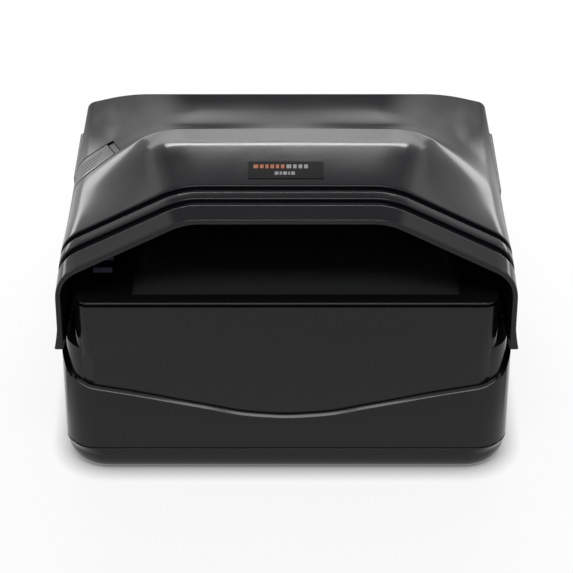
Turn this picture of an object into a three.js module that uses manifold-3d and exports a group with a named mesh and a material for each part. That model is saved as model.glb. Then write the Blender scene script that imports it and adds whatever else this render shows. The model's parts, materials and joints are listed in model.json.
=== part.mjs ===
// A compact full-page passport reader: a document window in a glossy deck, under a hinged hood
// that keeps daylight off the page. Millimetres, +Z up, the open front faces -Y. The origin is on
// the surface that the feet stand on, under the middle of the object.
import * as THREE from 'three';
import { mergeVertices } from 'three/addons/utils/BufferGeometryUtils.js';
import Module from 'manifold-3d';

const wasm = await Module();
wasm.setup();

// Overall sizes
const WIDTH = 184;
const DEPTH = 156;
const CORNER = 14;
const LEAST_CORNER = 1;
const WALL = 2.2;
const SHELL_WALL = 1.7;
const GAP = 0.3;

// How far a joined block runs into its neighbour, and a cutting block past the face it cuts
const LAP = 1;

// Heights of the layers, from the table up
const FOOT_HEIGHT = 1;
const TRAY_HEIGHT = 10.6;
const SEAM = 0.4;
const SKIRT_HEIGHT = 48.5;
const NECK_HEIGHT = 20.7;
const DECK_THICKNESS = 2.2;

const trayTop = FOOT_HEIGHT + TRAY_HEIGHT;
const shellBottom = trayTop + SEAM;
const shelfTop = shellBottom + SKIRT_HEIGHT;
const deckUnder = shelfTop + NECK_HEIGHT;
const deckTop = deckUnder + DECK_THICKNESS;

// Base tray
const TRAY_FLOOR = 2.5;
const TRAY_WALL = 4;
const TRAY_ROUND = 3.2;
const TRAY_FOOT_CORNER = 18;
const FOOT_RADIUS = 8;
const FOOT_FROM_SIDE = 36;
const FOOT_FROM_END = 24;

const trayFloorTop = FOOT_HEIGHT + TRAY_FLOOR;

// Lower shell, whose lip is lowest in the middle and sweeps up at the sides. Each point of the lip
// is a part of the half width and a part of the way from the middle's height to the sides' height.
const LIP_MIDDLE = 15.7;
const LIP_SIDE = 41.5;
const LIP_POINTS = [
  [0, 0], [0.105, 0.02], [0.208, 0.062], [0.341, 0.171], [0.475, 0.279], [0.607, 0.391],
  [0.696, 0.461], [0.784, 0.523], [0.882, 0.601], [0.931, 0.686], [0.97, 0.74], [1, 1],
];

const shellStep = SHELL_WALL + GAP;

// Upper housing, stepped in above its shelf so that the hood's skirt hangs beside it
const NECK_STEP_FRONT = 6.4;
const NECK_STEP_REAR = 8.8;
const NECK_CORNER = 5;
const NECK_BEFORE_HINGE = 3.5;

// Document window
const WINDOW_FROM_LEFT = 30;
const WINDOW_FROM_RIGHT = 22.5;
const WINDOW_FRONT = 8.5;
const WINDOW_FROM_REAR = 52.5;
const WINDOW_FIT = 0.2;
const GLASS_THICKNESS = 3;
const GLASS_SINK = 0.3;
const SEAL_WIDTH = 3;
const SEAL_HEIGHT = 1;
const SEAL_OUTSIDE = 0.5;
const ANTENNA_WIDTH = 6;
const ANTENNA_HEIGHT = 1.2;

const windowRear = DEPTH - WINDOW_FROM_REAR;
const windowHalf = (WIDTH - WINDOW_FROM_LEFT - WINDOW_FROM_RIGHT) / 2;
const windowX = (WINDOW_FROM_LEFT - WINDOW_FROM_RIGHT) / 2;
const glassTop = deckTop - GLASS_SINK;
const glassBottom = glassTop - GLASS_THICKNESS;
const sealBottom = glassBottom - SEAL_HEIGHT;

// Deck's rim inside the neck, and the sunken strip with the status lights at its left
const RIM_DEPTH = 4;
const RIM_WALL = 1.5;
const LEG_SLOT_PAST_NOSE = 0.7;
const LEG_SLOT_INSIDE = 0.6;
const LEG_SLOT_FRONT = 0.7;
const LEG_SLOT_REAR = 3.2;
const STRIP_SINK = 0.6;
const STRIP_FROM_EDGE = 2.6;
const STRIP_FROM_WINDOW = 0.8;
const STRIP_BEFORE_WINDOW = 1;
const STATUS_FROM_LEFT = 17;
const STATUS_LENGTH = 7.8;
const STATUS_WIDTH = 3.2;
const STATUS_FRONT = 27;
const STATUS_PITCH = 9;
const STATUS_DROP = 6.5;
const STATUS_PROUD = 0.1;
const STATUS_BOARD_MARGIN = 1;
const STATUS_POST_WIDTH = 4;
const STATUS_POST_LENGTH = 2;
const BOARD = 1.6;

// Hood
const HOOD_WALL = 2.2;
const HOOD_RISE = 46.4;
const HOOD_CLEARANCE = 1.7;
const FLARE = 1.4;
const FLARE_HEIGHT = 10;
const HOOD_REAR_WALL = 2.9;
const GROOVE_DEPTH = 1.3;
const GROOVE_WIDTH = 3.6;
const GROOVE_FRONT = 8.9;
const GROOVE_PITCH = 7.8;
const GROOVE_SLANT = 0.4;
const LEAST_SHOULDER = 2;
const EDGE_SOFT = 3;

const skirtBottom = shelfTop + HOOD_CLEARANCE;

// Hood's hinge, along X at the rear
const HINGE_FROM_REAR = 12;
const HINGE_ABOVE_SHELF = 10;
const PIN_RADIUS = 2;
const PIN_FROM_SIDE = 1;
const LUG_FROM_NECK = 2.2;
const LUG_WIDTH = 5;
const LUG_ROUND = 5;
const LUG_ARM_HALF = 4;
const BUSH_RADIUS = 3.5;
const BOSS_RADIUS = 4.5;
const RELIEF_BEFORE_HINGE = 6;
const RELIEF_BELOW_HINGE = 2.5;

const pivotY = DEPTH - HINGE_FROM_REAR;
const pivotZ = shelfTop + HINGE_ABOVE_SHELF;
const neckRear = pivotY - NECK_BEFORE_HINGE;
const lugOuter = WIDTH / 2 - NECK_STEP_REAR - LUG_FROM_NECK;
const lugInner = lugOuter - LUG_WIDTH;

// Hood latch on the left shoulder: a tab, with a leg down through the deck
const LATCH_MIDDLE = 79;
const LATCH_AHEAD = 12;
const LATCH_BEHIND = 6.5;
const LATCH_SLANT = 4.4;
const LATCH_BELOW_DECK = 3.4;
const LATCH_GAP = 0.5;
const LATCH_TRAVEL = 2;
const LEG_FROM_SIDE = 14.6;
const LEG_THICKNESS = 2.8;
const LEG_WIDTH = 5.2;
const LEG_DROP = 9.7;
const LEG_RISE = 20.8;
const TAB_PAST_LEG = 0.4;
const TONGUE_REACH = 4.5;
const TONGUE_SINK = 1.3;
const TONGUE_THICKNESS = 1.1;
const TONGUE_MARGIN = 0.5;
const WEB_LENGTH = 5;
const WEB_HEIGHT = 8;
const WEB_SETBACK = 1.5;
const NOSE_LENGTH = 2.2;
const NOSE_HEIGHT = 2.3;
const CATCH_LENGTH = 1.8;
const CATCH_HEIGHT = 2.6;
const CATCH_LIFT = 0.4;
const CATCH_PAST_LEG_FRONT = 1;
const CATCH_PAST_LEG_REAR = 2;
const SPRING_RADIUS = 2.2;
const SPRING_WIRE = 0.35;
const SPRING_TURNS = 3;
const SPRING_LENGTH = 5.5;
const SPRING_STEPS = 12;
const BRACKET_ABOVE_DECK = 8.6;
const BRACKET_THICKNESS = 2.5;
const BRACKET_ARM = 3.2;
const BRACKET_UPRIGHT = 2;
const BRACKET_PAST_TAB = 0.8;
const UPRIGHT_PAST_LEG = 2;
const UPRIGHT_PAST_SPRING = 1;
const SPRING_OVER_BRACKET = 1;

const latchFront = LATCH_MIDDLE - LATCH_AHEAD;
const latchRear = LATCH_MIDDLE + LATCH_BEHIND;
const legOuter = WIDTH / 2 - LEG_FROM_SIDE;
const legInner = legOuter - LEG_THICKNESS;
const legFront = LATCH_MIDDLE - LEG_WIDTH / 2;
const legRear = LATCH_MIDDLE + LEG_WIDTH / 2;
const legBottom = deckUnder - LEG_DROP;
const noseEnd = legOuter + NOSE_LENGTH;
const bracketBottom = deckTop + BRACKET_ABOVE_DECK;
const bracketTop = bracketBottom + BRACKET_THICKNESS;
const springZ = bracketTop + SPRING_RADIUS + SPRING_WIRE + SPRING_OVER_BRACKET;

// Side pads and name plate on the hood
const PAD_PROUD = 1.1;
const PAD_HEIGHT = 15.5;
const PAD_REAR = 127;
const PAD_SLANT = 1.5;
const PAD_CLEARANCE = 0.05;
const PAD_ABOVE_FLARE = 1;
const LEFT_PAD_BEHIND_TAB = 3;
const RIGHT_PAD_FRONT = 78;
const PLATE_WIDTH = 30;
const PLATE_SHIFT = -0.3;
const PLATE_FRONT = 24.6;
const PLATE_LENGTH = 11.4;
const PLATE_THICKNESS = 0.4;

// Optics: a mirror under the window turns the page's image to the camera at the rear
const HOUSING_WALL = 2;
const HOUSING_FLANGE = 2;
const MIRROR_LENGTH = 74;
const MIRROR_THICKNESS = 3;
const MIRROR_MARGIN = 1;
const MIRROR_FROM_SIDE = 2;
const LEDGE_WIDTH = 6;
const LEDGE_THICKNESS = 3;
const CAMERA_RISE = 6;
const BARREL_RADIUS = 8;
const BARREL_LENGTH = 12;
const LENS_RADIUS = 6;
const LENS_SEAT = 3;
const PORT_LENGTH = 5;
const PORT_CLEARANCE = 1;
const HOLDER_LENGTH = 8;
const CAMERA_BOARD_WIDTH = 40;
const CAMERA_BOARD_HEIGHT = 34;
const LED_BOARD_HEIGHT = 15;
const LED_FROM_END = 7;
const DIFFUSER = 2;
const CABLE_WIDTH = 16;
const CABLE_THICKNESS = 0.6;
const CABLE_LAP = 6;

const housingHalf = windowHalf - SEAL_WIDTH + SEAL_OUTSIDE;
const housingFront = WINDOW_FRONT + SEAL_WIDTH - SEAL_OUTSIDE;
const housingRear = windowRear - SEAL_WIDTH + SEAL_OUTSIDE;
const mirrorReach = (MIRROR_LENGTH / 2 + MIRROR_THICKNESS) * Math.SQRT1_2;
const mirrorY = housingFront + MIRROR_MARGIN + mirrorReach;
const mirrorZ = trayFloorTop + HOUSING_WALL + MIRROR_MARGIN + mirrorReach;
const cameraZ = mirrorZ + CAMERA_RISE;
const holderFront = housingRear + HOUSING_WALL + GAP;
const holderRear = holderFront + HOLDER_LENGTH;

// Electronics and sockets at the rear
const BOARD_LENGTH = 36;
const BOARD_FROM_SIDE = 25;
const BOARD_LIFT = 5;
const STANDOFF_RADIUS = 3;
const STANDOFF_FROM_EDGE = 4;
const STANDOFF_FROM_REAR = 12;
const BOARD_SCREW_RADIUS = 1.1;
const BOARD_SCREW_HEAD = 2.4;
const BOARD_SCREW_HEAD_HEIGHT = 1.4;
const BOARD_SCREW_LENGTH = 4.5;
const PROCESSOR_SIZE = 20;
const PROCESSOR_X = 32;
const PROCESSOR_FORWARD = 2;
const PROCESSOR_HEIGHT = 2;
const HEAT_SINK_SIZE = 24;
const HEAT_SINK_BASE = 2;
const FIN_HEIGHT = 7;
const FIN_THICKNESS = 1.2;
const FIN_COUNT = 6;
const BUZZER_FROM_END = 9;
const BUZZER_RADIUS = 5;
const BUZZER_FROM_FRONT = 13;
const BUZZER_HEIGHT = 6;
const DATA_X = -40;
const DATA_WIDTH = 12;
const DATA_LENGTH = 16;
const DATA_HEIGHT = 10.6;
const DATA_WALL = 0.7;
const DATA_TONGUE = 5.6;
const DATA_TONGUE_THICKNESS = 2.8;
const POWER_X = -10;
const POWER_WIDTH = 10;
const POWER_LENGTH = 13;
const POWER_HEIGHT = 11;
const PLUG_RADIUS = 3.2;
const SOCKET_BACK = 3;
const SOCKET_MOUTH = 4.6;
const SOCKET_FIT = 0.4;

const boardBottom = trayFloorTop + BOARD_LIFT;
const boardTop = boardBottom + BOARD;
const boardHalf = WIDTH / 2 - BOARD_FROM_SIDE;
const boardRear = DEPTH - shellStep - WALL - 1;
const boardFront = boardRear - BOARD_LENGTH;

// Fasteners and stops
const SCREW_FROM_SIDE = 14;
const SCREW_FROM_FRONT = 17;
const SCREW_FROM_REAR = 15;
const SCREW_RADIUS = 1.5;
const SCREW_HEAD_RADIUS = 3;
const SCREW_HEAD_HEIGHT = 2;
const SCREW_HEAD_SINK = 1;
const SCREW_LENGTH = 16;
const POST_RADIUS = 4;
const POST_HEIGHT = 20;
const POST_ROOF = 3;
const RIB_THICKNESS = 2;
const BUMPER_RADIUS = 1.3;
const BUMPER_HEIGHT = 1.4;
const BUMPER_FROM_SIDE = 3.4;
const BUMPER_FROM_FRONT = 26;

// Colours and finishes
const blackSatin = { color: 0x2b2c30, roughness: 0.42, metalness: 0 };
const blackGloss = { color: 0x101114, roughness: 0.12, metalness: 0 };
const blackMatt = { color: 0x18191b, roughness: 0.8, metalness: 0 };
const rubber = { color: 0x161616, roughness: 0.95, metalness: 0 };
const smokedGlass = { color: 0x22262a, roughness: 0.03, metalness: 0 };
const clearGlass = { color: 0xbfc8cc, roughness: 0.02, metalness: 0 };
const lightGuide = { color: 0xaeb9dd, roughness: 0.25, metalness: 0 };
const boardGreen = { color: 0x14512f, roughness: 0.5, metalness: 0 };
const steel = { color: 0xa9abad, roughness: 0.35, metalness: 1 };
const aluminium = { color: 0xb8babd, roughness: 0.45, metalness: 1 };
const copperFilm = { color: 0xa8622f, roughness: 0.5, metalness: 0 };
const mirrorGlass = { color: 0xd4dadd, roughness: 0.02, metalness: 1 };
const silverBlack = { color: 0x1c1d1f, roughness: 0.3, metalness: 0 };
const whitePlastic = { color: 0xe6e6e2, roughness: 0.6, metalness: 0 };

const object = new THREE.Group();

// Depths are counted from the front of the object, and turned into Y here
function depth(fromFront) {
  return fromFront - DEPTH / 2;
}

// Solids

function toSolid(geometry) {
  const bare = geometry.index ? geometry.toNonIndexed() : geometry.clone();
  bare.deleteAttribute('normal');
  bare.deleteAttribute('uv');
  const merged = mergeVertices(bare, 1e-4);
  const data = new wasm.Mesh({
    numProp: 3,
    vertProperties: merged.attributes.position.array,
    triVerts: merged.index.array,
  });
  return new wasm.Manifold(data);
}

function toGeometry(solid) {
  const data = solid.getMesh();
  const geometry = new THREE.BufferGeometry();
  geometry.setAttribute('position', new THREE.BufferAttribute(new Float32Array(data.vertProperties), 3));
  geometry.setIndex(new THREE.BufferAttribute(new Uint32Array(data.triVerts), 1));
  geometry.computeVertexNormals();
  return geometry;
}

function addPiece(name, shape, finish) {
  const geometry = shape.isBufferGeometry ? shape : toGeometry(shape);
  const mesh = new THREE.Mesh(geometry, new THREE.MeshStandardMaterial(finish));
  mesh.name = name;
  object.add(mesh);
  return mesh;
}

function joined(...solids) {
  return solids.reduce((whole, next) => whole.add(next));
}

function without(solid, ...cutters) {
  return cutters.reduce((rest, next) => rest.subtract(next), solid);
}

// A block from its lowest and highest corners
function block(x0, x1, y0, y1, z0, z1) {
  const geometry = new THREE.BoxGeometry(x1 - x0, y1 - y0, z1 - z0);
  geometry.translate((x0 + x1) / 2, (y0 + y1) / 2, (z0 + z1) / 2);
  return toSolid(geometry);
}

function roundBar(axis, radius, from, to, a, b, sides = 24) {
  const geometry = new THREE.CylinderGeometry(radius, radius, Math.abs(to - from), sides);
  const middle = (from + to) / 2;
  if (axis === 'x') {
    geometry.rotateZ(Math.PI / 2);
    geometry.translate(middle, a, b);
  } else if (axis === 'y') {
    geometry.translate(a, middle, b);
  } else {
    geometry.rotateX(Math.PI / 2);
    geometry.translate(a, b, middle);
  }
  return toSolid(geometry);
}

// Plan outline with round corners; its sides may lean in towards the rear
function plan(halfFront, halfRear, front, rear, radius, segments = 8) {
  const corners = [[-halfFront, front], [halfFront, front], [halfRear, rear], [-halfRear, rear]];
  return roundedPolygon(corners, radius, segments);
}

function roundedPolygon(corners, radius, segments) {
  const points = [];
  corners.forEach(([x, y], i) => {
    const corner = new THREE.Vector2(x, y);
    const before = new THREE.Vector2(...corners[(i + corners.length - 1) % corners.length]);
    const after = new THREE.Vector2(...corners[(i + 1) % corners.length]);
    const back = before.sub(corner).normalize();
    const ahead = after.sub(corner).normalize();
    const half = Math.acos(THREE.MathUtils.clamp(back.dot(ahead), -1, 1)) / 2;
    const middle = back.clone().add(ahead).normalize();
    const centre = corner.clone().addScaledVector(middle, radius / Math.sin(half));
    const start = corner.clone().addScaledVector(back, radius / Math.tan(half)).sub(centre);
    const sweep = Math.PI - 2 * half;
    for (let k = 0; k <= segments; k += 1) {
      const turned = start.clone().rotateAround(new THREE.Vector2(), (sweep * k) / segments);
      points.push(centre.clone().add(turned));
    }
  });
  return points;
}

// The shell's outline, moved inwards by the inset on every side
function shellPlan(inset, segments = 8, corner = CORNER) {
  const half = WIDTH / 2 - inset;
  const radius = Math.max(corner - inset, LEAST_CORNER);
  return plan(half, half, depth(inset), depth(DEPTH - inset), radius, segments);
}

function neckPlan(inset) {
  const front = WIDTH / 2 - NECK_STEP_FRONT - inset;
  const rear = WIDTH / 2 - NECK_STEP_REAR - inset;
  const radius = Math.max(NECK_CORNER - inset, LEAST_CORNER);
  return plan(front, rear, depth(shellStep + inset), depth(neckRear - inset), radius, 6);
}

function extruded(points, length) {
  return new THREE.ExtrudeGeometry(new THREE.Shape(points), { depth: length, bevelEnabled: false });
}

function prism(points, z0, z1) {
  const geometry = extruded(points, z1 - z0);
  geometry.translate(0, 0, z0);
  return toSolid(geometry);
}

// An outline in X and Z, extruded along Y
function frontPrism(points, y0, y1) {
  const geometry = extruded(points, y1 - y0);
  geometry.rotateX(Math.PI / 2);
  geometry.translate(0, y1, 0);
  return toSolid(geometry);
}

function walls(outline, z0, z1, thickness) {
  return without(prism(outline(0), z0, z1), prism(outline(thickness), z0 - LAP, z1 + LAP));
}

// A closed skin over a row of loops that all have as many points
function loft(loops) {
  const count = loops[0].length;
  const positions = loops.flat().flatMap((p) => [p.x, p.y, p.z]);
  const index = [];
  for (let s = 0; s + 1 < loops.length; s += 1) {
    for (let k = 0; k < count; k += 1) {
      const a = s * count + k;
      const b = s * count + ((k + 1) % count);
      index.push(a, b, a + count, b, b + count, a + count);
    }
  }
  closeEnd(loops, 0, index, true);
  closeEnd(loops, loops.length - 1, index, false);
  const geometry = new THREE.BufferGeometry();
  geometry.setAttribute('position', new THREE.Float32BufferAttribute(positions, 3));
  geometry.setIndex(index);
  const solid = toSolid(geometry);
  if (solid.volume() > 0) return solid;
  for (let t = 0; t < index.length; t += 3) [index[t], index[t + 1]] = [index[t + 1], index[t]];
  geometry.setIndex(index);
  return toSolid(geometry);
}

function closeEnd(loops, at, index, first) {
  const loop = loops[at];
  const level = loop.every((p) => Math.abs(p.z - loop[0].z) < 1e-6);
  const flat = loop.map((p) => new THREE.Vector2(p.x, level ? p.y : p.z));
  const clockwise = THREE.ShapeUtils.isClockWise(flat);
  const offset = at * loop.length;
  for (const [a, b, c] of THREE.ShapeUtils.triangulateShape(flat, [])) {
    const turnsRight = THREE.ShapeUtils.isClockWise([flat[a], flat[b], flat[c]]);
    const asLoop = turnsRight === clockwise;
    if (asLoop === first) index.push(offset + a, offset + c, offset + b);
    else index.push(offset + a, offset + b, offset + c);
  }
}

// Hood

// Sections across the hood, from its open front to its back. Places run along the depth, widths are
// parts of the half width, and heights over the deck and roundings are parts of the hood's rise.
// Each half has a side wall, a shoulder, a hip and a nearly flat top. The soft values say how far
// the rounding of the shoulder and the hip reaches along their sides.
const HOOD_SECTIONS = [
  { at: 0, half: 1.003, shoulder: 0.284, soft: 0.226, hip: [0.438, 0.875],
    hipSoft: 0.129, edge: [0.219, 0.875], top: 0.875 },
  { at: 0.1346, half: 0.992, shoulder: 0.39, soft: 0.205, hip: [0.473, 0.948],
    hipSoft: 0.129, edge: [0.242, 0.948], top: 0.948 },
  { at: 0.3173, half: 0.983, shoulder: 0.336, soft: 0.194, hip: [0.586, 0.983],
    hipSoft: 0.052, edge: [0.542, 1], top: 1 },
  { at: 0.3942, half: 0.98, shoulder: 0.321, soft: 0.183, hip: [0.654, 0.858],
    hipSoft: 0.065, edge: [0.521, 0.981], top: 0.989 },
  { at: 0.5128, half: 0.977, shoulder: 0.304, soft: 0.172, hip: [0.756, 0.659],
    hipSoft: 0.108, edge: [0.623, 0.797], top: 0.838 },
  { at: 0.7051, half: 0.972, shoulder: 0.254, soft: 0.14, hip: [0.839, 0.435],
    hipSoft: 0.129, edge: [0.559, 0.582], top: 0.593 },
  { at: 0.9487, half: 0.966, shoulder: 0.177, soft: 0.086, hip: [0.787, 0.278],
    hipSoft: 0.129, edge: [0.45, 0.278], top: 0.278 },
  { at: 0.9705, half: 0.95, shoulder: 0.125, soft: 0.086, hip: [0.789, 0.224],
    hipSoft: 0.129, edge: [0.458, 0.224], top: 0.224 },
  { at: 0.9795, half: 0.92, shoulder: 0.047, soft: 0.086, hip: [0.78, 0.134],
    hipSoft: 0.129, edge: [0.473, 0.134], top: 0.134 },
];

// How much of a side a rounded corner may take, and how far a sharp mitre may stretch
const MOST_ROUNDED = 0.48;
const SHARPEST_MITRE = 0.3;

function hoodSection(fromFront) {
  const place = fromFront / DEPTH;
  const last = HOOD_SECTIONS.length - 2;
  const after = HOOD_SECTIONS.findIndex((section) => section.at > place) - 1;
  const i = after < 0 ? last : Math.min(after, last);
  const [a, b] = [HOOD_SECTIONS[i], HOOD_SECTIONS[i + 1]];
  const t = Math.max((place - a.at) / (b.at - a.at), 0);
  const mix = (from, to) => THREE.MathUtils.lerp(from, to, t);
  const half = (WIDTH / 2) * mix(a.half, b.half);
  const across = (from, to) => half * mix(from, to);
  const height = (from, to) => deckTop + HOOD_RISE * mix(from, to);
  return {
    half,
    shoulder: height(a.shoulder, b.shoulder),
    soft: HOOD_RISE * mix(a.soft, b.soft),
    hip: [across(a.hip[0], b.hip[0]), height(a.hip[1], b.hip[1])],
    hipSoft: HOOD_RISE * mix(a.hipSoft, b.hipSoft),
    edge: [across(a.edge[0], b.edge[0]), height(a.edge[1], b.edge[1])],
    top: height(a.top, b.top),
  };
}

// Moves a line of corners to its left by the inset, each by its mitre
function movedIn(corners, inset) {
  return corners.map((corner, i) => {
    const before = corners[Math.max(i - 1, 0)];
    const after = corners[Math.min(i + 1, corners.length - 1)];
    const arrive = i === 0 ? after.clone().sub(corner) : corner.clone().sub(before);
    const leave = i === corners.length - 1 ? arrive.clone() : after.clone().sub(corner);
    arrive.normalize();
    leave.normalize();
    const side = new THREE.Vector2(-arrive.y - leave.y, arrive.x + leave.x).normalize();
    const stretch = 1 / Math.max(side.dot(new THREE.Vector2(-arrive.y, arrive.x)), SHARPEST_MITRE);
    return corner.clone().addScaledVector(side, inset * stretch);
  });
}

function softCorner(before, corner, after, reach, steps) {
  const start = corner.clone().lerp(before, Math.min(reach / corner.distanceTo(before), MOST_ROUNDED));
  const end = corner.clone().lerp(after, Math.min(reach / corner.distanceTo(after), MOST_ROUNDED));
  return new THREE.QuadraticBezierCurve(start, corner, end).getPoints(steps);
}

function hoodLoop(at, inset, bottom) {
  const s = hoodSection(at);
  const corners = [
    new THREE.Vector2(s.half, skirtBottom),
    new THREE.Vector2(s.half, s.shoulder),
    new THREE.Vector2(...s.hip),
    new THREE.Vector2(...s.edge),
    new THREE.Vector2(0, s.top),
  ];
  const [foot, shoulder, hip, edge, middle] = movedIn(corners, inset);
  const side = [new THREE.Vector2(foot.x, bottom)];
  if (inset < HOOD_WALL) {
    side[0].x += FLARE;
    side.push(new THREE.Vector2(foot.x, skirtBottom + FLARE_HEIGHT));
  }
  const half = [
    ...side,
    ...softCorner(foot, shoulder, hip, Math.max(s.soft - inset, LEAST_SHOULDER), 7),
    ...softCorner(shoulder, hip, edge, s.hipSoft, 4),
    ...softCorner(hip, edge, middle, EDGE_SOFT, 2),
  ];
  const left = half.map((p) => new THREE.Vector2(-p.x, p.y)).reverse();
  const loop = [...half, new THREE.Vector2(0, middle.y), ...left];
  return loop.map((p) => new THREE.Vector3(p.x, depth(at), p.y));
}

function hoodStations() {
  const stations = HOOD_SECTIONS.map((section) => ({ at: section.at * DEPTH, inset: 0 }));
  for (const front of [GROOVE_FRONT, GROOVE_FRONT + GROOVE_PITCH]) {
    const rear = front + GROOVE_WIDTH;
    stations.push({ at: front, inset: 0 });
    stations.push({ at: front + GROOVE_SLANT, inset: GROOVE_DEPTH });
    stations.push({ at: rear - GROOVE_SLANT, inset: GROOVE_DEPTH });
    stations.push({ at: rear, inset: 0 });
  }
  return stations.sort((a, b) => a.at - b.at);
}

// The room inside the hood, out to its walls less the given distance
function hoodRoom(inset, front = -LAP) {
  const rear = HOOD_SECTIONS.at(-1).at * DEPTH - HOOD_REAR_WALL;
  const between = HOOD_SECTIONS.slice(1, -2).map((section) => section.at * DEPTH);
  const loops = [0, ...between, rear].map((at) => hoodLoop(at, inset, skirtBottom - LAP));
  loops.unshift(loops[0].map((p) => p.clone().setY(depth(front))));
  return loft(loops);
}

function hoodBlank() {
  const outer = loft(hoodStations().map(({ at, inset }) => hoodLoop(at, inset, skirtBottom)));
  const reliefFront = depth(pivotY - RELIEF_BEFORE_HINGE);
  const relief = block(-WIDTH, WIDTH, reliefFront, depth(DEPTH + LAP), 0, pivotZ - RELIEF_BELOW_HINGE);
  return without(outer, hoodRoom(HOOD_WALL), relief);
}

function hinges(side, radius, from, to, sides = 24) {
  return roundBar('x', radius, side * from, side * to, depth(pivotY), pivotZ, sides);
}

function hingePin(side, clearance) {
  const inner = lugInner - GAP - clearance;
  const outer = hoodSection(pivotY).half - PIN_FROM_SIDE + clearance;
  return hinges(side, PIN_RADIUS + clearance, inner, outer, 20);
}

function hingeBoss(side) {
  return hinges(side, BOSS_RADIUS, lugOuter + LATCH_GAP, hoodSection(pivotY).half - HOOD_WALL / 2);
}

// Where the latch tab ends across the hood; the end slants in towards the front
function tabInner(at) {
  const slant = LATCH_SLANT / (latchRear - latchFront);
  return TAB_PAST_LEG - legInner + slant * (LATCH_MIDDLE - at);
}

// The cut of the latch tab out of the hood's left shoulder, grown by a clearance
function latchCut(clearance, travel) {
  const front = depth(latchFront) - clearance;
  const rear = depth(latchRear) + clearance;
  const grow = travel + clearance;
  const outline = [
    new THREE.Vector2(-WIDTH, front),
    new THREE.Vector2(tabInner(latchFront) + grow, front),
    new THREE.Vector2(tabInner(latchRear) + grow, rear),
    new THREE.Vector2(-WIDTH, rear),
  ];
  return prism(outline, deckTop - LATCH_BELOW_DECK - clearance, 2 * WIDTH);
}

// Height of the sloping side between the hood's shoulder and hip
function flankHeight(x, at) {
  const { half, shoulder, hip } = hoodSection(at);
  return THREE.MathUtils.mapLinear(Math.abs(x), half, hip[0], shoulder, hip[1]);
}

// A thin tongue at the tab's inner end, which closes its slot from below
function latchTongue() {
  return loft([latchFront + TONGUE_MARGIN, latchRear - TONGUE_MARGIN].map((at) => {
    const inner = tabInner(at);
    const top = flankHeight(inner, at) - TONGUE_SINK;
    const bottom = top - TONGUE_THICKNESS;
    const ends = [inner - LAP, inner + TONGUE_REACH];
    return [[ends[0], bottom], [ends[1], bottom], [ends[1], top], [ends[0], top]]
      .map(([x, z]) => new THREE.Vector3(x, depth(at), z));
  }));
}

function addHood() {
  const blank = hoodBlank();
  const bossed = joined(blank, hingeBoss(-1), hingeBoss(1));
  const latchOpening = latchCut(LATCH_GAP, LATCH_TRAVEL);
  addPiece('hood', without(bossed, hingePin(-1, GAP), hingePin(1, GAP), latchOpening), blackSatin);
  addLatch(blank);
  addLatchBracket();
  addLatchSpring();
  for (const [name, side] of [['left', -1], ['right', 1]]) {
    addPiece(`hinge_pin_${name}`, hingePin(side, 0), steel);
  }
  addSidePads();
  addNamePlate();
}

function addLatch(blank) {
  const cap = blank.intersect(latchCut(0, 0));
  const legTop = deckTop + LEG_RISE;
  const front = depth(legFront);
  const rear = depth(legRear);
  const inLeg = -legInner - LAP;
  const leg = block(-legOuter, -legInner, front, rear, legBottom, legTop);
  const nose = block(-noseEnd, inLeg, front, rear, legBottom, legBottom + NOSE_HEIGHT);
  const web = block(
    -legOuter - WEB_LENGTH, inLeg, front + WEB_SETBACK, rear - WEB_SETBACK, legTop - WEB_HEIGHT, legTop);
  const withinCap = hoodRoom(HOOD_WALL / 2);
  const inside = joined(leg, nose, web).intersect(withinCap);
  addPiece('latch_tab', joined(cap, inside, latchTongue()), blackSatin);
}

// A plate across the hood's side wall that guides the leg and backs the spring
function addLatchBracket() {
  const front = depth(latchFront - BRACKET_PAST_TAB);
  const rear = depth(latchRear + BRACKET_PAST_TAB);
  const inner = -legInner + SPRING_LENGTH + BRACKET_UPRIGHT;
  const outer = HOOD_WALL + LATCH_TRAVEL + 3 * LATCH_GAP - hoodSection(latchRear).half;
  const plate = block(outer, inner, front - BRACKET_ARM, rear + BRACKET_ARM, bracketBottom, bracketTop);
  const arms = [front - BRACKET_ARM, rear].map((y) => (
    block(-WIDTH / 2, outer + LAP, y, y + BRACKET_ARM, bracketBottom, bracketTop)));
  const slot = block(
    -legOuter - LATCH_GAP, -legInner + LATCH_TRAVEL + LATCH_GAP,
    depth(legFront) - LATCH_GAP, depth(legRear) + LATCH_GAP, 0, bracketTop + LAP);
  const upright = block(
    inner - BRACKET_UPRIGHT, inner, depth(legFront - UPRIGHT_PAST_LEG),
    depth(legRear + UPRIGHT_PAST_LEG), bracketBottom, springZ + SPRING_RADIUS + UPRIGHT_PAST_SPRING);
  const whole = joined(without(plate, slot), upright, ...arms);
  addPiece('latch_bracket', whole.intersect(hoodRoom(HOOD_WALL + GAP)), blackMatt);
}

class Helix extends THREE.Curve {
  constructor(radius, length, turns) {
    super();
    this.radius = radius;
    this.length = length;
    this.turns = turns;
  }

  getPoint(t, target = new THREE.Vector3()) {
    const angle = 2 * Math.PI * this.turns * t;
    return target.set(this.length * t, this.radius * Math.cos(angle), this.radius * Math.sin(angle));
  }
}

function wireSection(radius, sides = 6) {
  const shape = new THREE.Shape();
  for (let k = 0; k < sides; k += 1) {
    const angle = (2 * Math.PI * k) / sides;
    const move = k === 0 ? 'moveTo' : 'lineTo';
    shape[move](radius * Math.cos(angle), radius * Math.sin(angle));
  }
  return shape;
}

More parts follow.
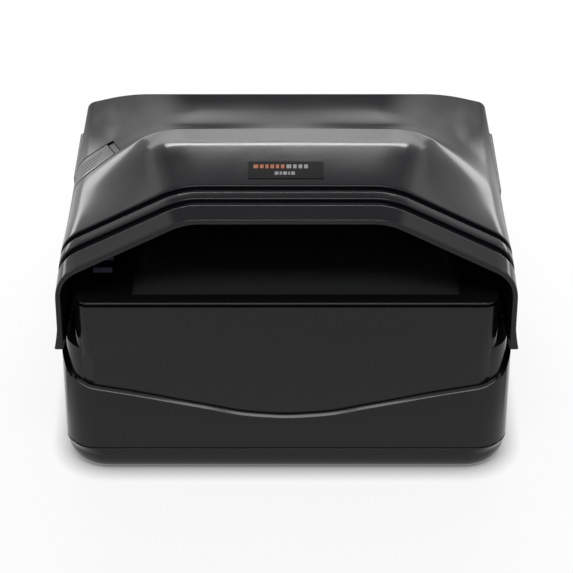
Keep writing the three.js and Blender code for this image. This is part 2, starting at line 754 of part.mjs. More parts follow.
function addLatchSpring() {
  const length = SPRING_LENGTH - 2 * (GAP + SPRING_WIRE);
  const geometry = new THREE.ExtrudeGeometry(wireSection(SPRING_WIRE), {
    steps: SPRING_TURNS * SPRING_STEPS,
    bevelEnabled: false,
    extrudePath: new Helix(SPRING_RADIUS, length, SPRING_TURNS),
  });
  geometry.translate(-legInner + GAP + SPRING_WIRE, depth(LATCH_MIDDLE), springZ);
  addPiece('latch_spring', toSolid(geometry), steel);
}

// A raised pad on the skirt's side, which follows its lean
function sidePad(side, front, rear) {
  const face = (at) => hoodSection(at).half + PAD_CLEARANCE;
  const outline = [
    [face(front), front],
    [face(front) + PAD_PROUD, front + PAD_SLANT],
    [face(rear) + PAD_PROUD, rear - PAD_SLANT],
    [face(rear), rear],
  ];
  const low = skirtBottom + FLARE_HEIGHT + PAD_ABOVE_FLARE;
  const points = outline.map(([x, at]) => new THREE.Vector2(side * x, depth(at)));
  return prism(points, low, low + PAD_HEIGHT);
}

function addSidePads() {
  addPiece('side_pad_left', sidePad(-1, latchRear + LEFT_PAD_BEHIND_TAB, PAD_REAR), blackSatin);
  addPiece('side_pad_right', sidePad(1, RIGHT_PAD_FRONT, PAD_REAR), blackSatin);
}

function addNamePlate() {
  const plate = new THREE.BoxGeometry(PLATE_WIDTH, PLATE_LENGTH, PLATE_THICKNESS);
  const low = hoodSection(PLATE_FRONT).top;
  const high = hoodSection(PLATE_FRONT + PLATE_LENGTH).top;
  plate.translate(0, 0, PLATE_THICKNESS / 2 + PAD_CLEARANCE);
  plate.rotateX(Math.atan2(high - low, PLATE_LENGTH));
  plate.translate(PLATE_SHIFT, depth(PLATE_FRONT + PLATE_LENGTH / 2), (low + high) / 2);
  addPiece('name_plate', toSolid(plate), blackGloss);
}

// Base tray, feet and fasteners

function screwPlaces() {
  const x = WIDTH / 2 - SCREW_FROM_SIDE;
  const front = depth(SCREW_FROM_FRONT);
  const rear = depth(DEPTH - SCREW_FROM_REAR);
  return [[-x, front], [x, front], [-x, rear], [x, rear]];
}

function standoffPlaces() {
  const x = boardHalf - STANDOFF_FROM_EDGE;
  const front = depth(boardFront + STANDOFF_FROM_EDGE);
  const rear = depth(boardRear - STANDOFF_FROM_REAR);
  return [[-x, front], [x, front], [-x, rear], [x, rear]];
}

// The tray is flush with the shell at its top; its corners are rounder towards the table
function trayBlank() {
  const steps = 5;
  const loops = [];
  for (let k = 0; k <= steps; k += 1) {
    const angle = (Math.PI / 2) * (k / steps);
    const z = FOOT_HEIGHT + TRAY_ROUND * (1 - Math.cos(angle));
    const outline = shellPlan(TRAY_ROUND * (1 - Math.sin(angle)), 8, TRAY_FOOT_CORNER);
    loops.push(outline.map((p) => new THREE.Vector3(p.x, p.y, z)));
  }
  loops.push(shellPlan(0).map((p) => new THREE.Vector3(p.x, p.y, trayTop)));
  return without(loft(loops), prism(shellPlan(TRAY_WALL), trayFloorTop, trayTop + LAP));
}

function addBaseTray() {
  const headTop = FOOT_HEIGHT + SCREW_HEAD_SINK + SCREW_HEAD_HEIGHT;
  const posts = screwPlaces().map(([x, y]) => (
    roundBar('z', POST_RADIUS, FOOT_HEIGHT + LAP, trayTop, x, y)));
  const holes = screwPlaces().flatMap(([x, y]) => [
    roundBar('z', SCREW_RADIUS + GAP, 0, trayTop + LAP, x, y, 16),
    roundBar('z', SCREW_HEAD_RADIUS + GAP, 0, headTop, x, y, 16),
  ]);
  const standoffs = standoffPlaces().map(([x, y]) => (
    roundBar('z', STANDOFF_RADIUS, FOOT_HEIGHT + LAP, boardBottom, x, y, 16)));
  const threads = standoffPlaces().map(([x, y]) => (
    roundBar('z', BOARD_SCREW_RADIUS + GAP, boardTop - BOARD_SCREW_LENGTH - LAP, trayTop, x, y, 12)));
  const solid = joined(trayBlank(), ...posts, ...standoffs);
  addPiece('base_tray', without(solid, ...holes, ...threads, ...socketOpenings()), blackSatin);
}

function addFeet() {
  const x = WIDTH / 2 - FOOT_FROM_SIDE;
  const y = DEPTH / 2 - FOOT_FROM_END;
  [[-x, -y], [x, -y], [-x, y], [x, y]].forEach(([footX, footY], i) => {
    addPiece(`rubber_foot_${i + 1}`, roundBar('z', FOOT_RADIUS, 0, FOOT_HEIGHT, footX, footY), rubber);
  });
}

// A screw whose head's inner face lies at the given height; upwards is 1 or -1
function screw([x, y], under, head, shank, upwards) {
  const headEnd = under - upwards * head.height;
  const shankStart = under - upwards * head.height / 2;
  const shankEnd = under + upwards * shank.length;
  return joined(
    roundBar('z', head.radius, under, headEnd, x, y, 16),
    roundBar('z', shank.radius, shankStart, shankEnd, x, y, 16),
  );
}

function addScrews() {
  const baseUnder = FOOT_HEIGHT + SCREW_HEAD_SINK + SCREW_HEAD_HEIGHT - GAP;
  const baseHead = { radius: SCREW_HEAD_RADIUS, height: SCREW_HEAD_HEIGHT };
  const baseShank = { radius: SCREW_RADIUS, length: SCREW_LENGTH };
  screwPlaces().forEach((place, i) => {
    addPiece(`base_screw_${i + 1}`, screw(place, baseUnder, baseHead, baseShank, 1), steel);
  });
  const boardHead = { radius: BOARD_SCREW_HEAD, height: BOARD_SCREW_HEAD_HEIGHT };
  const boardShank = { radius: BOARD_SCREW_RADIUS, length: BOARD_SCREW_LENGTH };
  standoffPlaces().forEach((place, i) => {
    addPiece(`board_screw_${i + 1}`, screw(place, boardTop, boardHead, boardShank, -1), steel);
  });
}

// Lower shell

function aboveLip() {
  const rise = LIP_SIDE - LIP_MIDDLE;
  const low = shellBottom + LIP_MIDDLE;
  const place = ([across, up]) => new THREE.Vector2(across * WIDTH / 2, low + up * rise);
  const right = new THREE.SplineCurve(LIP_POINTS.map(place)).getPoints(4 * LIP_POINTS.length);
  const left = right.slice(1).map((p) => new THREE.Vector2(-p.x, p.y)).reverse();
  const outside = WIDTH / 2 + LAP;
  const side = shellBottom + LIP_SIDE;
  const above = [[outside, side], [outside, WIDTH], [-outside, WIDTH], [-outside, side]];
  const points = [...left, ...right, ...above.map(([x, z]) => new THREE.Vector2(x, z))];
  return frontPrism(points, depth(-LAP), depth(DEPTH + LAP));
}

function addLowerShell() {
  const ring = walls(shellPlan, shellBottom, shellBottom + LIP_SIDE + LAP, SHELL_WALL);
  addPiece('lower_shell', without(ring, aboveLip(), ...socketOpenings()), blackSatin);
}

// Upper housing

function lug(side) {
  const round = hinges(side, LUG_ROUND, lugInner, lugOuter);
  const ends = [side * lugInner, side * lugOuter].sort((a, b) => a - b);
  const armFront = depth(neckRear - WALL - LAP);
  const arm = block(...ends, armFront, depth(pivotY), pivotZ - LUG_ARM_HALF, pivotZ + LUG_ARM_HALF);
  return without(joined(round, arm), hinges(side, BUSH_RADIUS + GAP, lugInner - LAP, lugOuter + LAP));
}

function screwPost([x, y]) {
  const wall = Math.sign(x) * (WIDTH / 2 - shellStep - LAP);
  const half = RIB_THICKNESS / 2;
  const rib = [x, wall].sort((a, b) => a - b);
  const top = shellBottom + POST_HEIGHT;
  return joined(
    roundBar('z', POST_RADIUS, shellBottom, top, x, y),
    block(...rib, y - half, y + half, shellBottom + LAP, top),
  );
}

function addUpperHousing() {
  const outline = (inset) => shellPlan(shellStep + inset, 6);
  const skirt = walls(outline, shellBottom, shelfTop, WALL);
  const shelfBlank = prism(outline(0), shelfTop - WALL, shelfTop);
  const shelf = shelfBlank.subtract(prism(neckPlan(WALL), 0, WIDTH));
  const neck = walls(neckPlan, shelfTop - WALL, deckUnder, WALL);
  const bores = screwPlaces().map(([x, y]) => (
    roundBar('z', SCREW_RADIUS + GAP, 0, shellBottom + POST_HEIGHT - POST_ROOF, x, y, 16)));
  const whole = joined(skirt, shelf, neck, lug(-1), lug(1), ...screwPlaces().map(screwPost));
  addPiece('upper_housing', without(whole, ...bores, ...socketOpenings()), blackSatin);
}

function addHingeBushes() {
  for (const [name, side] of [['left', -1], ['right', 1]]) {
    const bush = hinges(side, BUSH_RADIUS, lugInner + GAP / 2, lugOuter - GAP / 2);
    addPiece(`hinge_bush_${name}`, bush.subtract(hingePin(side, GAP)), whitePlastic);
  }
}

function addBumpers() {
  const x = WIDTH / 2 - BUMPER_FROM_SIDE;
  for (const [name, side] of [['left', -1], ['right', 1]]) {
    const y = depth(BUMPER_FROM_FRONT);
    const bumper = roundBar('z', BUMPER_RADIUS, shelfTop, shelfTop + BUMPER_HEIGHT, side * x, y, 16);
    addPiece(`hood_bumper_${name}`, bumper, rubber);
  }
}

function addLatchCatch() {
  const bottom = legBottom + NOSE_HEIGHT + CATCH_LIFT;
  const inner = -noseEnd - GAP;
  const front = depth(legFront - CATCH_PAST_LEG_FRONT);
  const rear = depth(legRear + CATCH_PAST_LEG_REAR);
  const solid = block(inner - CATCH_LENGTH, inner, front, rear, bottom, bottom + CATCH_HEIGHT);
  addPiece('latch_catch', solid, steel);
}

// Deck, window and status lights

function windowBlock(grow, z0, z1) {
  const half = windowHalf + grow;
  const front = depth(WINDOW_FRONT - grow);
  return block(windowX - half, windowX + half, front, depth(windowRear + grow), z0, z1);
}

// Room inside the neck's walls
function neckRoom(inset) {
  return prism(neckPlan(WALL + inset), shelfTop, deckTop);
}

function statusPlaces() {
  return [STATUS_FRONT, STATUS_FRONT + STATUS_PITCH];
}

function statusBlock(at, grow, z0, z1) {
  const x = STATUS_FROM_LEFT - WIDTH / 2;
  const halfX = STATUS_LENGTH / 2 + grow;
  const halfY = STATUS_WIDTH / 2 + grow;
  return block(x - halfX, x + halfX, depth(at) - halfY, depth(at) + halfY, z0, z1);
}

function statusPosts() {
  const bottom = deckTop - STATUS_DROP;
  const [first, last] = statusPlaces();
  const x = STATUS_FROM_LEFT - WIDTH / 2;
  const halfX = STATUS_POST_WIDTH / 2;
  const halfY = STATUS_POST_LENGTH / 2;
  return [first - STATUS_PITCH / 2, last + STATUS_PITCH / 2].map((at) => (
    block(x - halfX, x + halfX, depth(at) - halfY, depth(at) + halfY, bottom, deckUnder + LAP)));
}

// The slot that the latch's leg passes and swings through
function legSlot() {
  const outer = -noseEnd - LEG_SLOT_PAST_NOSE;
  const inner = -legInner + LATCH_TRAVEL + LEG_SLOT_INSIDE;
  return block(outer, inner, depth(legFront - LEG_SLOT_FRONT), depth(legRear + LEG_SLOT_REAR), 0, WIDTH);
}

function deckRim() {
  const outline = (inset) => neckPlan(WALL + GAP + inset);
  const rim = walls(outline, deckUnder - RIM_DEPTH, deckUnder + LAP, RIM_WALL);
  return without(rim, windowBlock(SEAL_OUTSIDE + ANTENNA_WIDTH + LAP, 0, deckUnder));
}

function addDeck() {
  const plate = prism(neckPlan(0), deckUnder, deckTop);
  const strip = block(
    STRIP_FROM_EDGE + NECK_STEP_REAR - WIDTH / 2, windowX - windowHalf - STRIP_FROM_WINDOW,
    depth(WINDOW_FRONT - STRIP_BEFORE_WINDOW), depth(windowRear), deckTop - STRIP_SINK, WIDTH);
  const lights = statusPlaces().map((at) => statusBlock(at, WINDOW_FIT, 0, WIDTH));
  const openings = [windowBlock(WINDOW_FIT, 0, WIDTH), strip, legSlot(), ...lights];
  const solid = joined(plate, deckRim(), ...statusPosts());
  addPiece('deck', without(solid, ...openings), blackGloss);
}

function addWindow() {
  addPiece('window_glass', windowBlock(0, glassBottom, glassTop), smokedGlass);
  const sealRing = windowBlock(SEAL_OUTSIDE, sealBottom, glassBottom);
  const sealRoom = windowBlock(SEAL_OUTSIDE - SEAL_WIDTH, 0, WIDTH);
  addPiece('window_seal', without(sealRing, sealRoom), rubber);
  const inner = SEAL_OUTSIDE + GAP;
  const coil = windowBlock(inner + ANTENNA_WIDTH, sealBottom, sealBottom + ANTENNA_HEIGHT);
  const coilRing = without(coil, windowBlock(inner, 0, WIDTH));
  addPiece('chip_antenna', coilRing.intersect(neckRoom(GAP)), copperFilm);
}

function addStatusLights() {
  const bottom = deckTop - STATUS_DROP;
  const top = deckTop - STRIP_SINK + STATUS_PROUD;
  statusPlaces().forEach((at, i) => {
    addPiece(`status_light_${i + 1}`, statusBlock(at, 0, bottom, top), lightGuide);
  });
  const [first, last] = statusPlaces();
  const x = STATUS_FROM_LEFT - WIDTH / 2;
  const half = STATUS_LENGTH / 2 + STATUS_BOARD_MARGIN;
  const past = STATUS_PITCH / 2 + STATUS_BOARD_MARGIN;
  const board = block(x - half, x + half, depth(first - past), depth(last + past), bottom - BOARD, bottom);
  addPiece('status_light_board', board, boardGreen);
}

// Optics

function housingBlock(grow, z0, z1) {
  const half = housingHalf + grow;
  const front = depth(housingFront - grow);
  return block(windowX - half, windowX + half, front, depth(housingRear + grow), z0, z1);
}

// A plate that lies at 45 degrees, low at the rear, its face through the mirror's middle
function slopedPlate(width, x, top, thickness) {
  const plate = new THREE.BoxGeometry(width, MIRROR_LENGTH, thickness);
  plate.translate(x, 0, top - thickness / 2);
  plate.rotateX(-Math.PI / 4);
  plate.translate(windowX, depth(mirrorY), mirrorZ);
  return toSolid(plate);
}

function addOpticsHousing() {
  const tub = housingBlock(HOUSING_WALL, trayFloorTop, sealBottom);
  const room = housingBlock(0, trayFloorTop + HOUSING_WALL, sealBottom + LAP);
  const flangeGrow = SEAL_OUTSIDE + GAP + ANTENNA_WIDTH;
  const flangeBlank = windowBlock(flangeGrow, sealBottom - HOUSING_FLANGE, sealBottom);
  const flange = flangeBlank.intersect(neckRoom(GAP));
  const ledgeX = housingHalf - LEDGE_WIDTH / 2 + HOUSING_WALL / 2;
  const ledges = [-1, 1].map((side) => (
    slopedPlate(LEDGE_WIDTH + HOUSING_WALL, side * ledgeX, -MIRROR_THICKNESS - GAP, LEDGE_THICKNESS)
      .intersect(housingBlock(LAP, trayFloorTop + LAP, sealBottom))));
  const portFront = depth(housingRear - PORT_LENGTH);
  const portRadius = BARREL_RADIUS + PORT_CLEARANCE;
  const port = roundBar('y', portRadius, portFront, depth(holderRear), windowX, cameraZ);
  const whole = joined(without(tub, room), without(flange, room), ...ledges);
  addPiece('optics_housing', without(whole, port), blackMatt);
}

function addMirror() {
  const width = 2 * (housingHalf - MIRROR_FROM_SIDE);
  addPiece('mirror', slopedPlate(width, 0, 0, MIRROR_THICKNESS), mirrorGlass);
}

function addLighting() {
  const front = depth(housingFront + LED_FROM_END);
  const rear = depth(housingRear - LED_FROM_END);
  const top = sealBottom - HOUSING_FLANGE;
  const slab = (side, from, thickness) => {
    const ends = [windowX + side * from, windowX + side * (from - thickness)].sort((a, b) => a - b);
    return block(...ends, front, rear, top - LED_BOARD_HEIGHT, top);
  };
  for (const [name, side] of [['left', -1], ['right', 1]]) {
    const boardFace = housingHalf - GAP;
    addPiece(`led_board_${name}`, slab(side, boardFace, BOARD), boardGreen);
    addPiece(`led_diffuser_${name}`, slab(side, boardFace - BOARD - GAP, DIFFUSER), whitePlastic);
  }
}

function cameraPlate(front, rear) {
  const half = CAMERA_BOARD_WIDTH / 2;
  const rise = CAMERA_BOARD_HEIGHT / 2;
  return block(windowX - half, windowX + half, depth(front), depth(rear), cameraZ - rise, cameraZ + rise);
}

function addCamera() {
  const along = (radius, from, to) => roundBar('y', radius, depth(from), depth(to), windowX, cameraZ);
  const barrelFront = holderRear - BARREL_LENGTH;
  const bore = along(BARREL_RADIUS + GAP, holderFront - LAP, holderRear + LAP);
  addPiece('camera_holder', cameraPlate(holderFront, holderRear).subtract(bore), blackMatt);
  const seat = along(LENS_RADIUS + GAP, barrelFront - LAP, barrelFront + LENS_SEAT);
  addPiece('lens_barrel', along(BARREL_RADIUS, barrelFront, holderRear).subtract(seat), blackMatt);
  addPiece('lens', along(LENS_RADIUS, barrelFront + GAP, barrelFront + LENS_SEAT - GAP), clearGlass);
  const boardFace = holderRear + GAP;
  addPiece('camera_board', cameraPlate(boardFace, boardFace + BOARD), boardGreen);
  addCameraCable(boardFace + BOARD + GAP);
}

// A flat cable from the back of the camera board down to the main board
function addCameraCable(front) {
  const half = CABLE_WIDTH / 2;
  const low = boardTop + GAP;
  const [x0, x1] = [windowX - half, windowX + half];
  const upright = block(x0, x1, depth(front), depth(front + CABLE_THICKNESS), low, cameraZ);
  const foot = block(x0, x1, depth(front), depth(boardFront + CABLE_LAP), low, low + CABLE_THICKNESS);
  addPiece('camera_cable', joined(upright, foot), whitePlastic);
}

// Electronics

function addMainBoard() {
  const front = depth(boardFront);
  const solid = block(-boardHalf, boardHalf, front, depth(boardRear), boardBottom, boardTop);
  const holes = standoffPlaces().map(([x, y]) => (
    roundBar('z', BOARD_SCREW_RADIUS + GAP, 0, trayTop + LAP, x, y, 12)));
  addPiece('main_board', without(solid, ...holes), boardGreen);
}

function onBoard(x, size, bottom, height) {
  const middle = depth((boardFront + boardRear) / 2 - PROCESSOR_FORWARD);
  const half = size / 2;
  return block(x - half, x + half, middle - half, middle + half, bottom, bottom + height);
}

function addHeatSink() {
  addPiece('processor', onBoard(PROCESSOR_X, PROCESSOR_SIZE, boardTop, PROCESSOR_HEIGHT), silverBlack);
  const bottom = boardTop + PROCESSOR_HEIGHT;
  const base = onBoard(PROCESSOR_X, HEAT_SINK_SIZE, bottom, HEAT_SINK_BASE + FIN_HEIGHT);
  const pitch = (HEAT_SINK_SIZE - FIN_THICKNESS) / (FIN_COUNT - 1);
  const first = PROCESSOR_X - HEAT_SINK_SIZE / 2;
  const slots = [];
  for (let k = 0; k < FIN_COUNT - 1; k += 1) {
    const left = first + k * pitch + FIN_THICKNESS;
    slots.push(block(left, left + pitch - FIN_THICKNESS, -DEPTH, DEPTH, bottom + HEAT_SINK_BASE, WIDTH));
  }
  addPiece('heat_sink', without(base, ...slots), aluminium);
}

function addBuzzer() {
  const x = BUZZER_FROM_END - boardHalf;
  const y = depth(boardFront + BUZZER_FROM_FRONT);
  const buzzer = roundBar('z', BUZZER_RADIUS, boardTop, boardTop + BUZZER_HEIGHT, x, y);
  addPiece('buzzer', buzzer, blackMatt);
}

function socketOpenings() {
  const sockets = [[DATA_X, DATA_WIDTH, DATA_HEIGHT], [POWER_X, POWER_WIDTH, POWER_HEIGHT]];
  return sockets.map(([x, width, height]) => {
    const half = width / 2 + SOCKET_FIT;
    const front = depth(DEPTH - TRAY_WALL - shellStep - WALL);
    const bottom = boardTop - SOCKET_FIT;
    const top = boardTop + height + SOCKET_FIT;
    return block(x - half, x + half, front, depth(DEPTH + LAP), bottom, top);
  });
}

function addDataSocket() {
  const rear = depth(DEPTH);
  const half = DATA_WIDTH / 2;
  const top = boardTop + DATA_HEIGHT;
  const front = rear - DATA_LENGTH;
  const body = block(DATA_X - half, DATA_X + half, front, rear, boardTop, top);
  const halfMouth = half - DATA_WALL;
  const mouth = block(
    DATA_X - halfMouth, DATA_X + halfMouth, front + SOCKET_BACK, rear + LAP,
    boardTop + DATA_WALL, top - DATA_WALL);
  const middle = (boardTop + top) / 2;
  const halfTongue = DATA_TONGUE / 2;
  const tongue = block(
    DATA_X - halfTongue, DATA_X + halfTongue, front + LAP, rear - SOCKET_MOUTH,
    middle - DATA_TONGUE_THICKNESS / 2, middle + DATA_TONGUE_THICKNESS / 2);
  addPiece('data_socket', joined(without(body, mouth), tongue), steel);
}

function addPowerSocket() {
  const rear = depth(DEPTH);
  const front = rear - POWER_LENGTH;
  const half = POWER_WIDTH / 2;
  const z = boardTop + POWER_HEIGHT / 2;
  const body = block(POWER_X - half, POWER_X + half, front, rear, boardTop, boardTop + POWER_HEIGHT);
  const bore = roundBar('y', PLUG_RADIUS, front + SOCKET_BACK, rear + LAP, POWER_X, z);
  const pin = roundBar('y', PLUG_RADIUS / 3, front + LAP, rear - SOCKET_MOUTH, POWER_X, z, 12);
  addPiece('power_socket', joined(without(body, bore), pin), blackMatt);
}

addBaseTray();
addFeet();
addScrews();
addLowerShell();
addUpperHousing();
addHingeBushes();
addBumpers();
addLatchCatch();
addDeck();
addWindow();
addStatusLights();
addOpticsHousing();
addMirror();
addLighting();
addCamera();
addMainBoard();
addHeatSink();
addBuzzer();
addDataSocket();
addPowerSocket();
addHood();

export default object;
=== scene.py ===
"""The dressed passport reader: fine outer shells, materials, light, floor and camera."""

import json
import math

import bmesh
import bpy
from mathutils import Matrix, Vector


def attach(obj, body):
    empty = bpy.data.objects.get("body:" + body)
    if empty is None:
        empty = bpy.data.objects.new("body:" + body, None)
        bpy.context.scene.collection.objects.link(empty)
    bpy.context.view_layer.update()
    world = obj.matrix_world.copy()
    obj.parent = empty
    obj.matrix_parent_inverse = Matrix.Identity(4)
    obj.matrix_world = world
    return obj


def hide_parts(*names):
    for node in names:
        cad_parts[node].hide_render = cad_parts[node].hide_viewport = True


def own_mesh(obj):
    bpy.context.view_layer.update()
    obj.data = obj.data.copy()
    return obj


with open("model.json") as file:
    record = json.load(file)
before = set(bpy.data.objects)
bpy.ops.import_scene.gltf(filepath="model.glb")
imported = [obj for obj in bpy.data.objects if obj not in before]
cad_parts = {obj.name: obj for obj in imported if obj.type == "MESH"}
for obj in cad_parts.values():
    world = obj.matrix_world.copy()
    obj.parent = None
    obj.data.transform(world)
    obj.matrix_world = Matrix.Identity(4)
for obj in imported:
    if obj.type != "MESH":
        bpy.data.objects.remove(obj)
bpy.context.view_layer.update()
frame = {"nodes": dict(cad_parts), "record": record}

MM = 0.001
SCENE = bpy.context.scene

# Sizes in millimetres, most of them shared with the solids
WIDTH, DEPTH, CORNER = 184.0, 156.0, 14.0
WALL, LIP_INNER, SHELL_STEP = 2.2, 1.92, 2.0
TRAY_BOTTOM, TRAY_TOP, TRAY_CURVE_IN, TRAY_CURVE_UP = 0.45, 11.6, 4.0, 8.0
TRAY_WALL, TRAY_FLOOR_TOP, TRAY_FOOT_CORNER = 4.0, 3.5, 18.0
SHELL_BOTTOM, SHELF_TOP, DECK_UNDER, DECK_TOP = 12.0, 60.5, 81.2, 83.4
LIP_MIDDLE, LIP_SIDE = 15.7, 41.5
# Where the lip's chamfer starts to flatten out, over which length, and by which share
LIP_FLAT_START, LIP_FLAT_LENGTH, LIP_FLAT_SHARE = 30, 40, 0.18
NECK_FRONT_HALF, NECK_REAR_HALF, NECK_REAR, NECK_CORNER = 85.6, 83.2, 140.5, 6.0
# How far the neck's block and the room in it reach down into the skirt
NECK_OVERLAP, NECK_ROOM_OVERLAP = 3, 9
SKIRT_BOTTOM, HOOD_RISE, HOOD_WALL = 62.2, 46.4, 2.2
FLARE, FLARE_HEIGHT = 1.4, 10.0
PIVOT_Y, PIVOT_Z = 144.0, 70.5
HOOD_REAR, HOOD_REAR_WALL, RELIEF_FRONT, RELIEF_TOP = 152.8, 2.9, 138.0, 68.0
GROOVE_FRONTS, GROOVE_WIDTH, GROOVE_DEPTH, GROOVE_EDGE = (8.9, 16.7), 3.6, 1.9, 0.5
LATCH_MIDDLE, LATCH_FRONT, LATCH_REAR, LATCH_LOW = 79.0, 67.0, 85.5, 80.0
LATCH_INNER, LATCH_SLANT = 74.2, 4.4
# The gap along the latch tab, and the room at its inner end, which takes its travel of 2 mm
LATCH_GAP, LATCH_ROOM = 1.0, 2.6
TONGUE_SINK, TONGUE_THICKNESS, TONGUE_LENGTH = 0.9, 0.6, 4.5
TONGUE_GROOVE, TONGUE_GROOVE_DEPTH = 0.7, 0.45
# The recess for the tongue: start, room past the tongue's end, room aside and over it, and depth
RECESS_START, RECESS_PAST, RECESS_ASIDE, RECESS_OVER, RECESS_DEPTH = 1.5, 2.7, 0.7, 0.15, 4
RIB_PLACES, RIB_OUTER, RIB_INNER, RIB_STEP = (71.0, 74.0, 77.0, 80.0), -86.5, -79.5, 0.6
LEG_OUTER, LEG_INNER, LEG_FRONT, LEG_REAR = 77.4, 74.6, 76.4, 81.6
LEG_BOTTOM, LEG_TOP, NOSE_END, NOSE_HEIGHT = 71.5, 103.4, 79.6, 2.3
# The hinge bosses in the hood and the housing's lugs, then the screw posts and holes
BOSS_RADIUS, BOSS_BORE, BOSS_INNER, BOSS_OUTER = 4.5, 2.3, 81.5, 88.0
LUG_RADIUS, LUG_BORE, LUG_INNER, LUG_OUTER, LUG_FRONT = 5.0, 3.8, 76.0, 81.0, 137.4
POST_RADIUS, POST_BOTTOM, POST_BORE, POST_BORE_ENDS = 4.0, 3.4, 1.8, (3, 13)
SCREW_HOLE, SCREW_HOLE_ENDS = 3.3, (0, 4.0)
SCREW_XS, SCREW_YS = (-78, 78), (17, 141)
WINDOW_X, WINDOW_HALF, WINDOW_FRONT, WINDOW_REAR = 3.75, 65.75, 8.5, 103.5
WINDOW_BOTTOM, WINDOW_TOP, FIT = 80.1, 83.1, 0.2
STATUS_X, STATUS_LENGTH, STATUS_WIDTH, STATUS_PLACES = -75.0, 7.8, 3.2, (27.0, 36.0)
STRIP_LEFT, STRIP_RIGHT, STRIP_DEPTH = -80.6, -62.8, 0.6
# Heights well below and above the deck, between which its holes are cut
UNDER, OVER = 70, 90
# The hole in the deck for the latch's leg: left, right, front and rear
LEG_HOLE = (-80.3, -72.0, 75.7, 84.8)
# Middle, width and height of the data and the power socket, the room beside them, the heights from
# which their openings' ends count, and the places between which they are cut
SOCKETS, SOCKET_ROOM = ((-40.0, 12.0, 10.6), (-10.0, 10.0, 11.0)), 0.4
SOCKET_LOW, SOCKET_HIGH, SOCKET_FRONT, SOCKET_REAR = 9.7, 10.5, 145, 160
PLATE_X, PLATE_FRONT, PLATE_LENGTH, PLATE_WIDTH = -0.3, 24.6, 11.4, 30.0
PLATE_THICKNESS, PLATE_LIFT, BAR_THICKNESS = 0.2, 0.02, 0.06


def depth(from_front):
    """Y of a place counted from the front of the object."""
    return from_front - DEPTH / 2


# Meshes


def linked(name, data):
    obj = bpy.data.objects.new(name, data)
    SCENE.collection.objects.link(obj)
    return obj


def dress(obj, body, material, replaced=()):
    obj.data.materials.clear()
    obj.data.materials.append(material)
    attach(obj, body)
    if replaced:
        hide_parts(*replaced)
    return obj


def outward(obj):
    """Joins points that meet, and turns all faces to the outside."""
    made = bmesh.new()
    made.from_mesh(obj.data)
    bmesh.ops.remove_doubles(made, verts=made.verts, dist=1e-7)
    bmesh.ops.recalc_face_normals(made, faces=made.faces)
    made.to_mesh(obj.data)
    made.free()


def smooth(obj, degrees=32):
    for face in obj.data.polygons:
        face.use_smooth = True
    obj.data.set_sharp_from_angle(angle=math.radians(degrees))


def applied(obj):
    """Bakes the object's modifiers into its mesh."""
    graph = bpy.context.evaluated_depsgraph_get()
    mesh = bpy.data.meshes.new_from_object(obj.evaluated_get(graph))
    obj.modifiers.clear()
    old = obj.data
    obj.data = mesh
    bpy.data.meshes.remove(old)


def bevelled(obj, width, degrees=35, segments=3):
    bevel = obj.modifiers.new("soft edges", "BEVEL")
    bevel.width = width * MM
    bevel.segments = segments
    bevel.limit_method = "ANGLE"
    bevel.angle_limit = math.radians(degrees)
    applied(obj)


def flatten(obj):
    """Joins faces that lie in one plane."""
    made = bmesh.new()
    made.from_mesh(obj.data)
    bmesh.ops.remove_doubles(made, verts=made.verts, dist=2e-6)
    bmesh.ops.dissolve_limit(
        made, angle_limit=math.radians(0.5), verts=made.verts, edges=made.edges)
    made.to_mesh(obj.data)
    made.free()


def cut(obj, cutter, operation="DIFFERENCE"):
    boolean = obj.modifiers.new("cut", "BOOLEAN")
    boolean.operation = operation
    boolean.solver = "EXACT"
    boolean.object = cutter
    applied(obj)
    bpy.data.objects.remove(cutter)


def loose(name, verts, faces):
    mesh = bpy.data.meshes.new(name)
    mesh.from_pydata([Vector(v) * MM for v in verts], [], faces)
    obj = linked(name, mesh)
    outward(obj)
    return obj


def new_piece(name, verts, faces, body, material, slot, replaced=()):
    return dress(loose(name, verts, faces), body, material, replaced)


def side_faces(count, a, b):
    """Four-sided faces between the loops that start at points a and b."""
    return [(a + k, a + (k + 1) % count, b + (k + 1) % count, b + k) for k in range(count)]


def box_mesh(x0, x1, y0, y1, z0, z1):
    verts = [(x, y, z) for z in (z0, z1) for x, y in ((x0, y0), (x1, y0), (x1, y1), (x0, y1))]
    faces = [(0, 3, 2, 1), (4, 5, 6, 7), (0, 1, 5, 4), (1, 2, 6, 5), (2, 3, 7, 6), (3, 0, 4, 7)]
    return verts, faces


def cutting_box(*corners):
    return loose("cutter", *box_mesh(*corners))


def rod_mesh(axis, radius, start, end, a, b, sides=48):
    """A round bar along x (a is y, b is z) or along z (a is x, b is y)."""
    verts = []
    for along in (start, end):
        for k in range(sides):
            turn = 2 * math.pi * k / sides
            p, q = a + radius * math.cos(turn), b + radius * math.sin(turn)
            verts.append((along, p, q) if axis == "x" else (p, q, along))
    faces = [tuple(range(sides))[::-1], tuple(range(sides, 2 * sides))]
    return verts, faces + side_faces(sides, 0, sides)


def cutting_rod(*facts):
    return loose("cutter", *rod_mesh(*facts))


# Outlines in plan


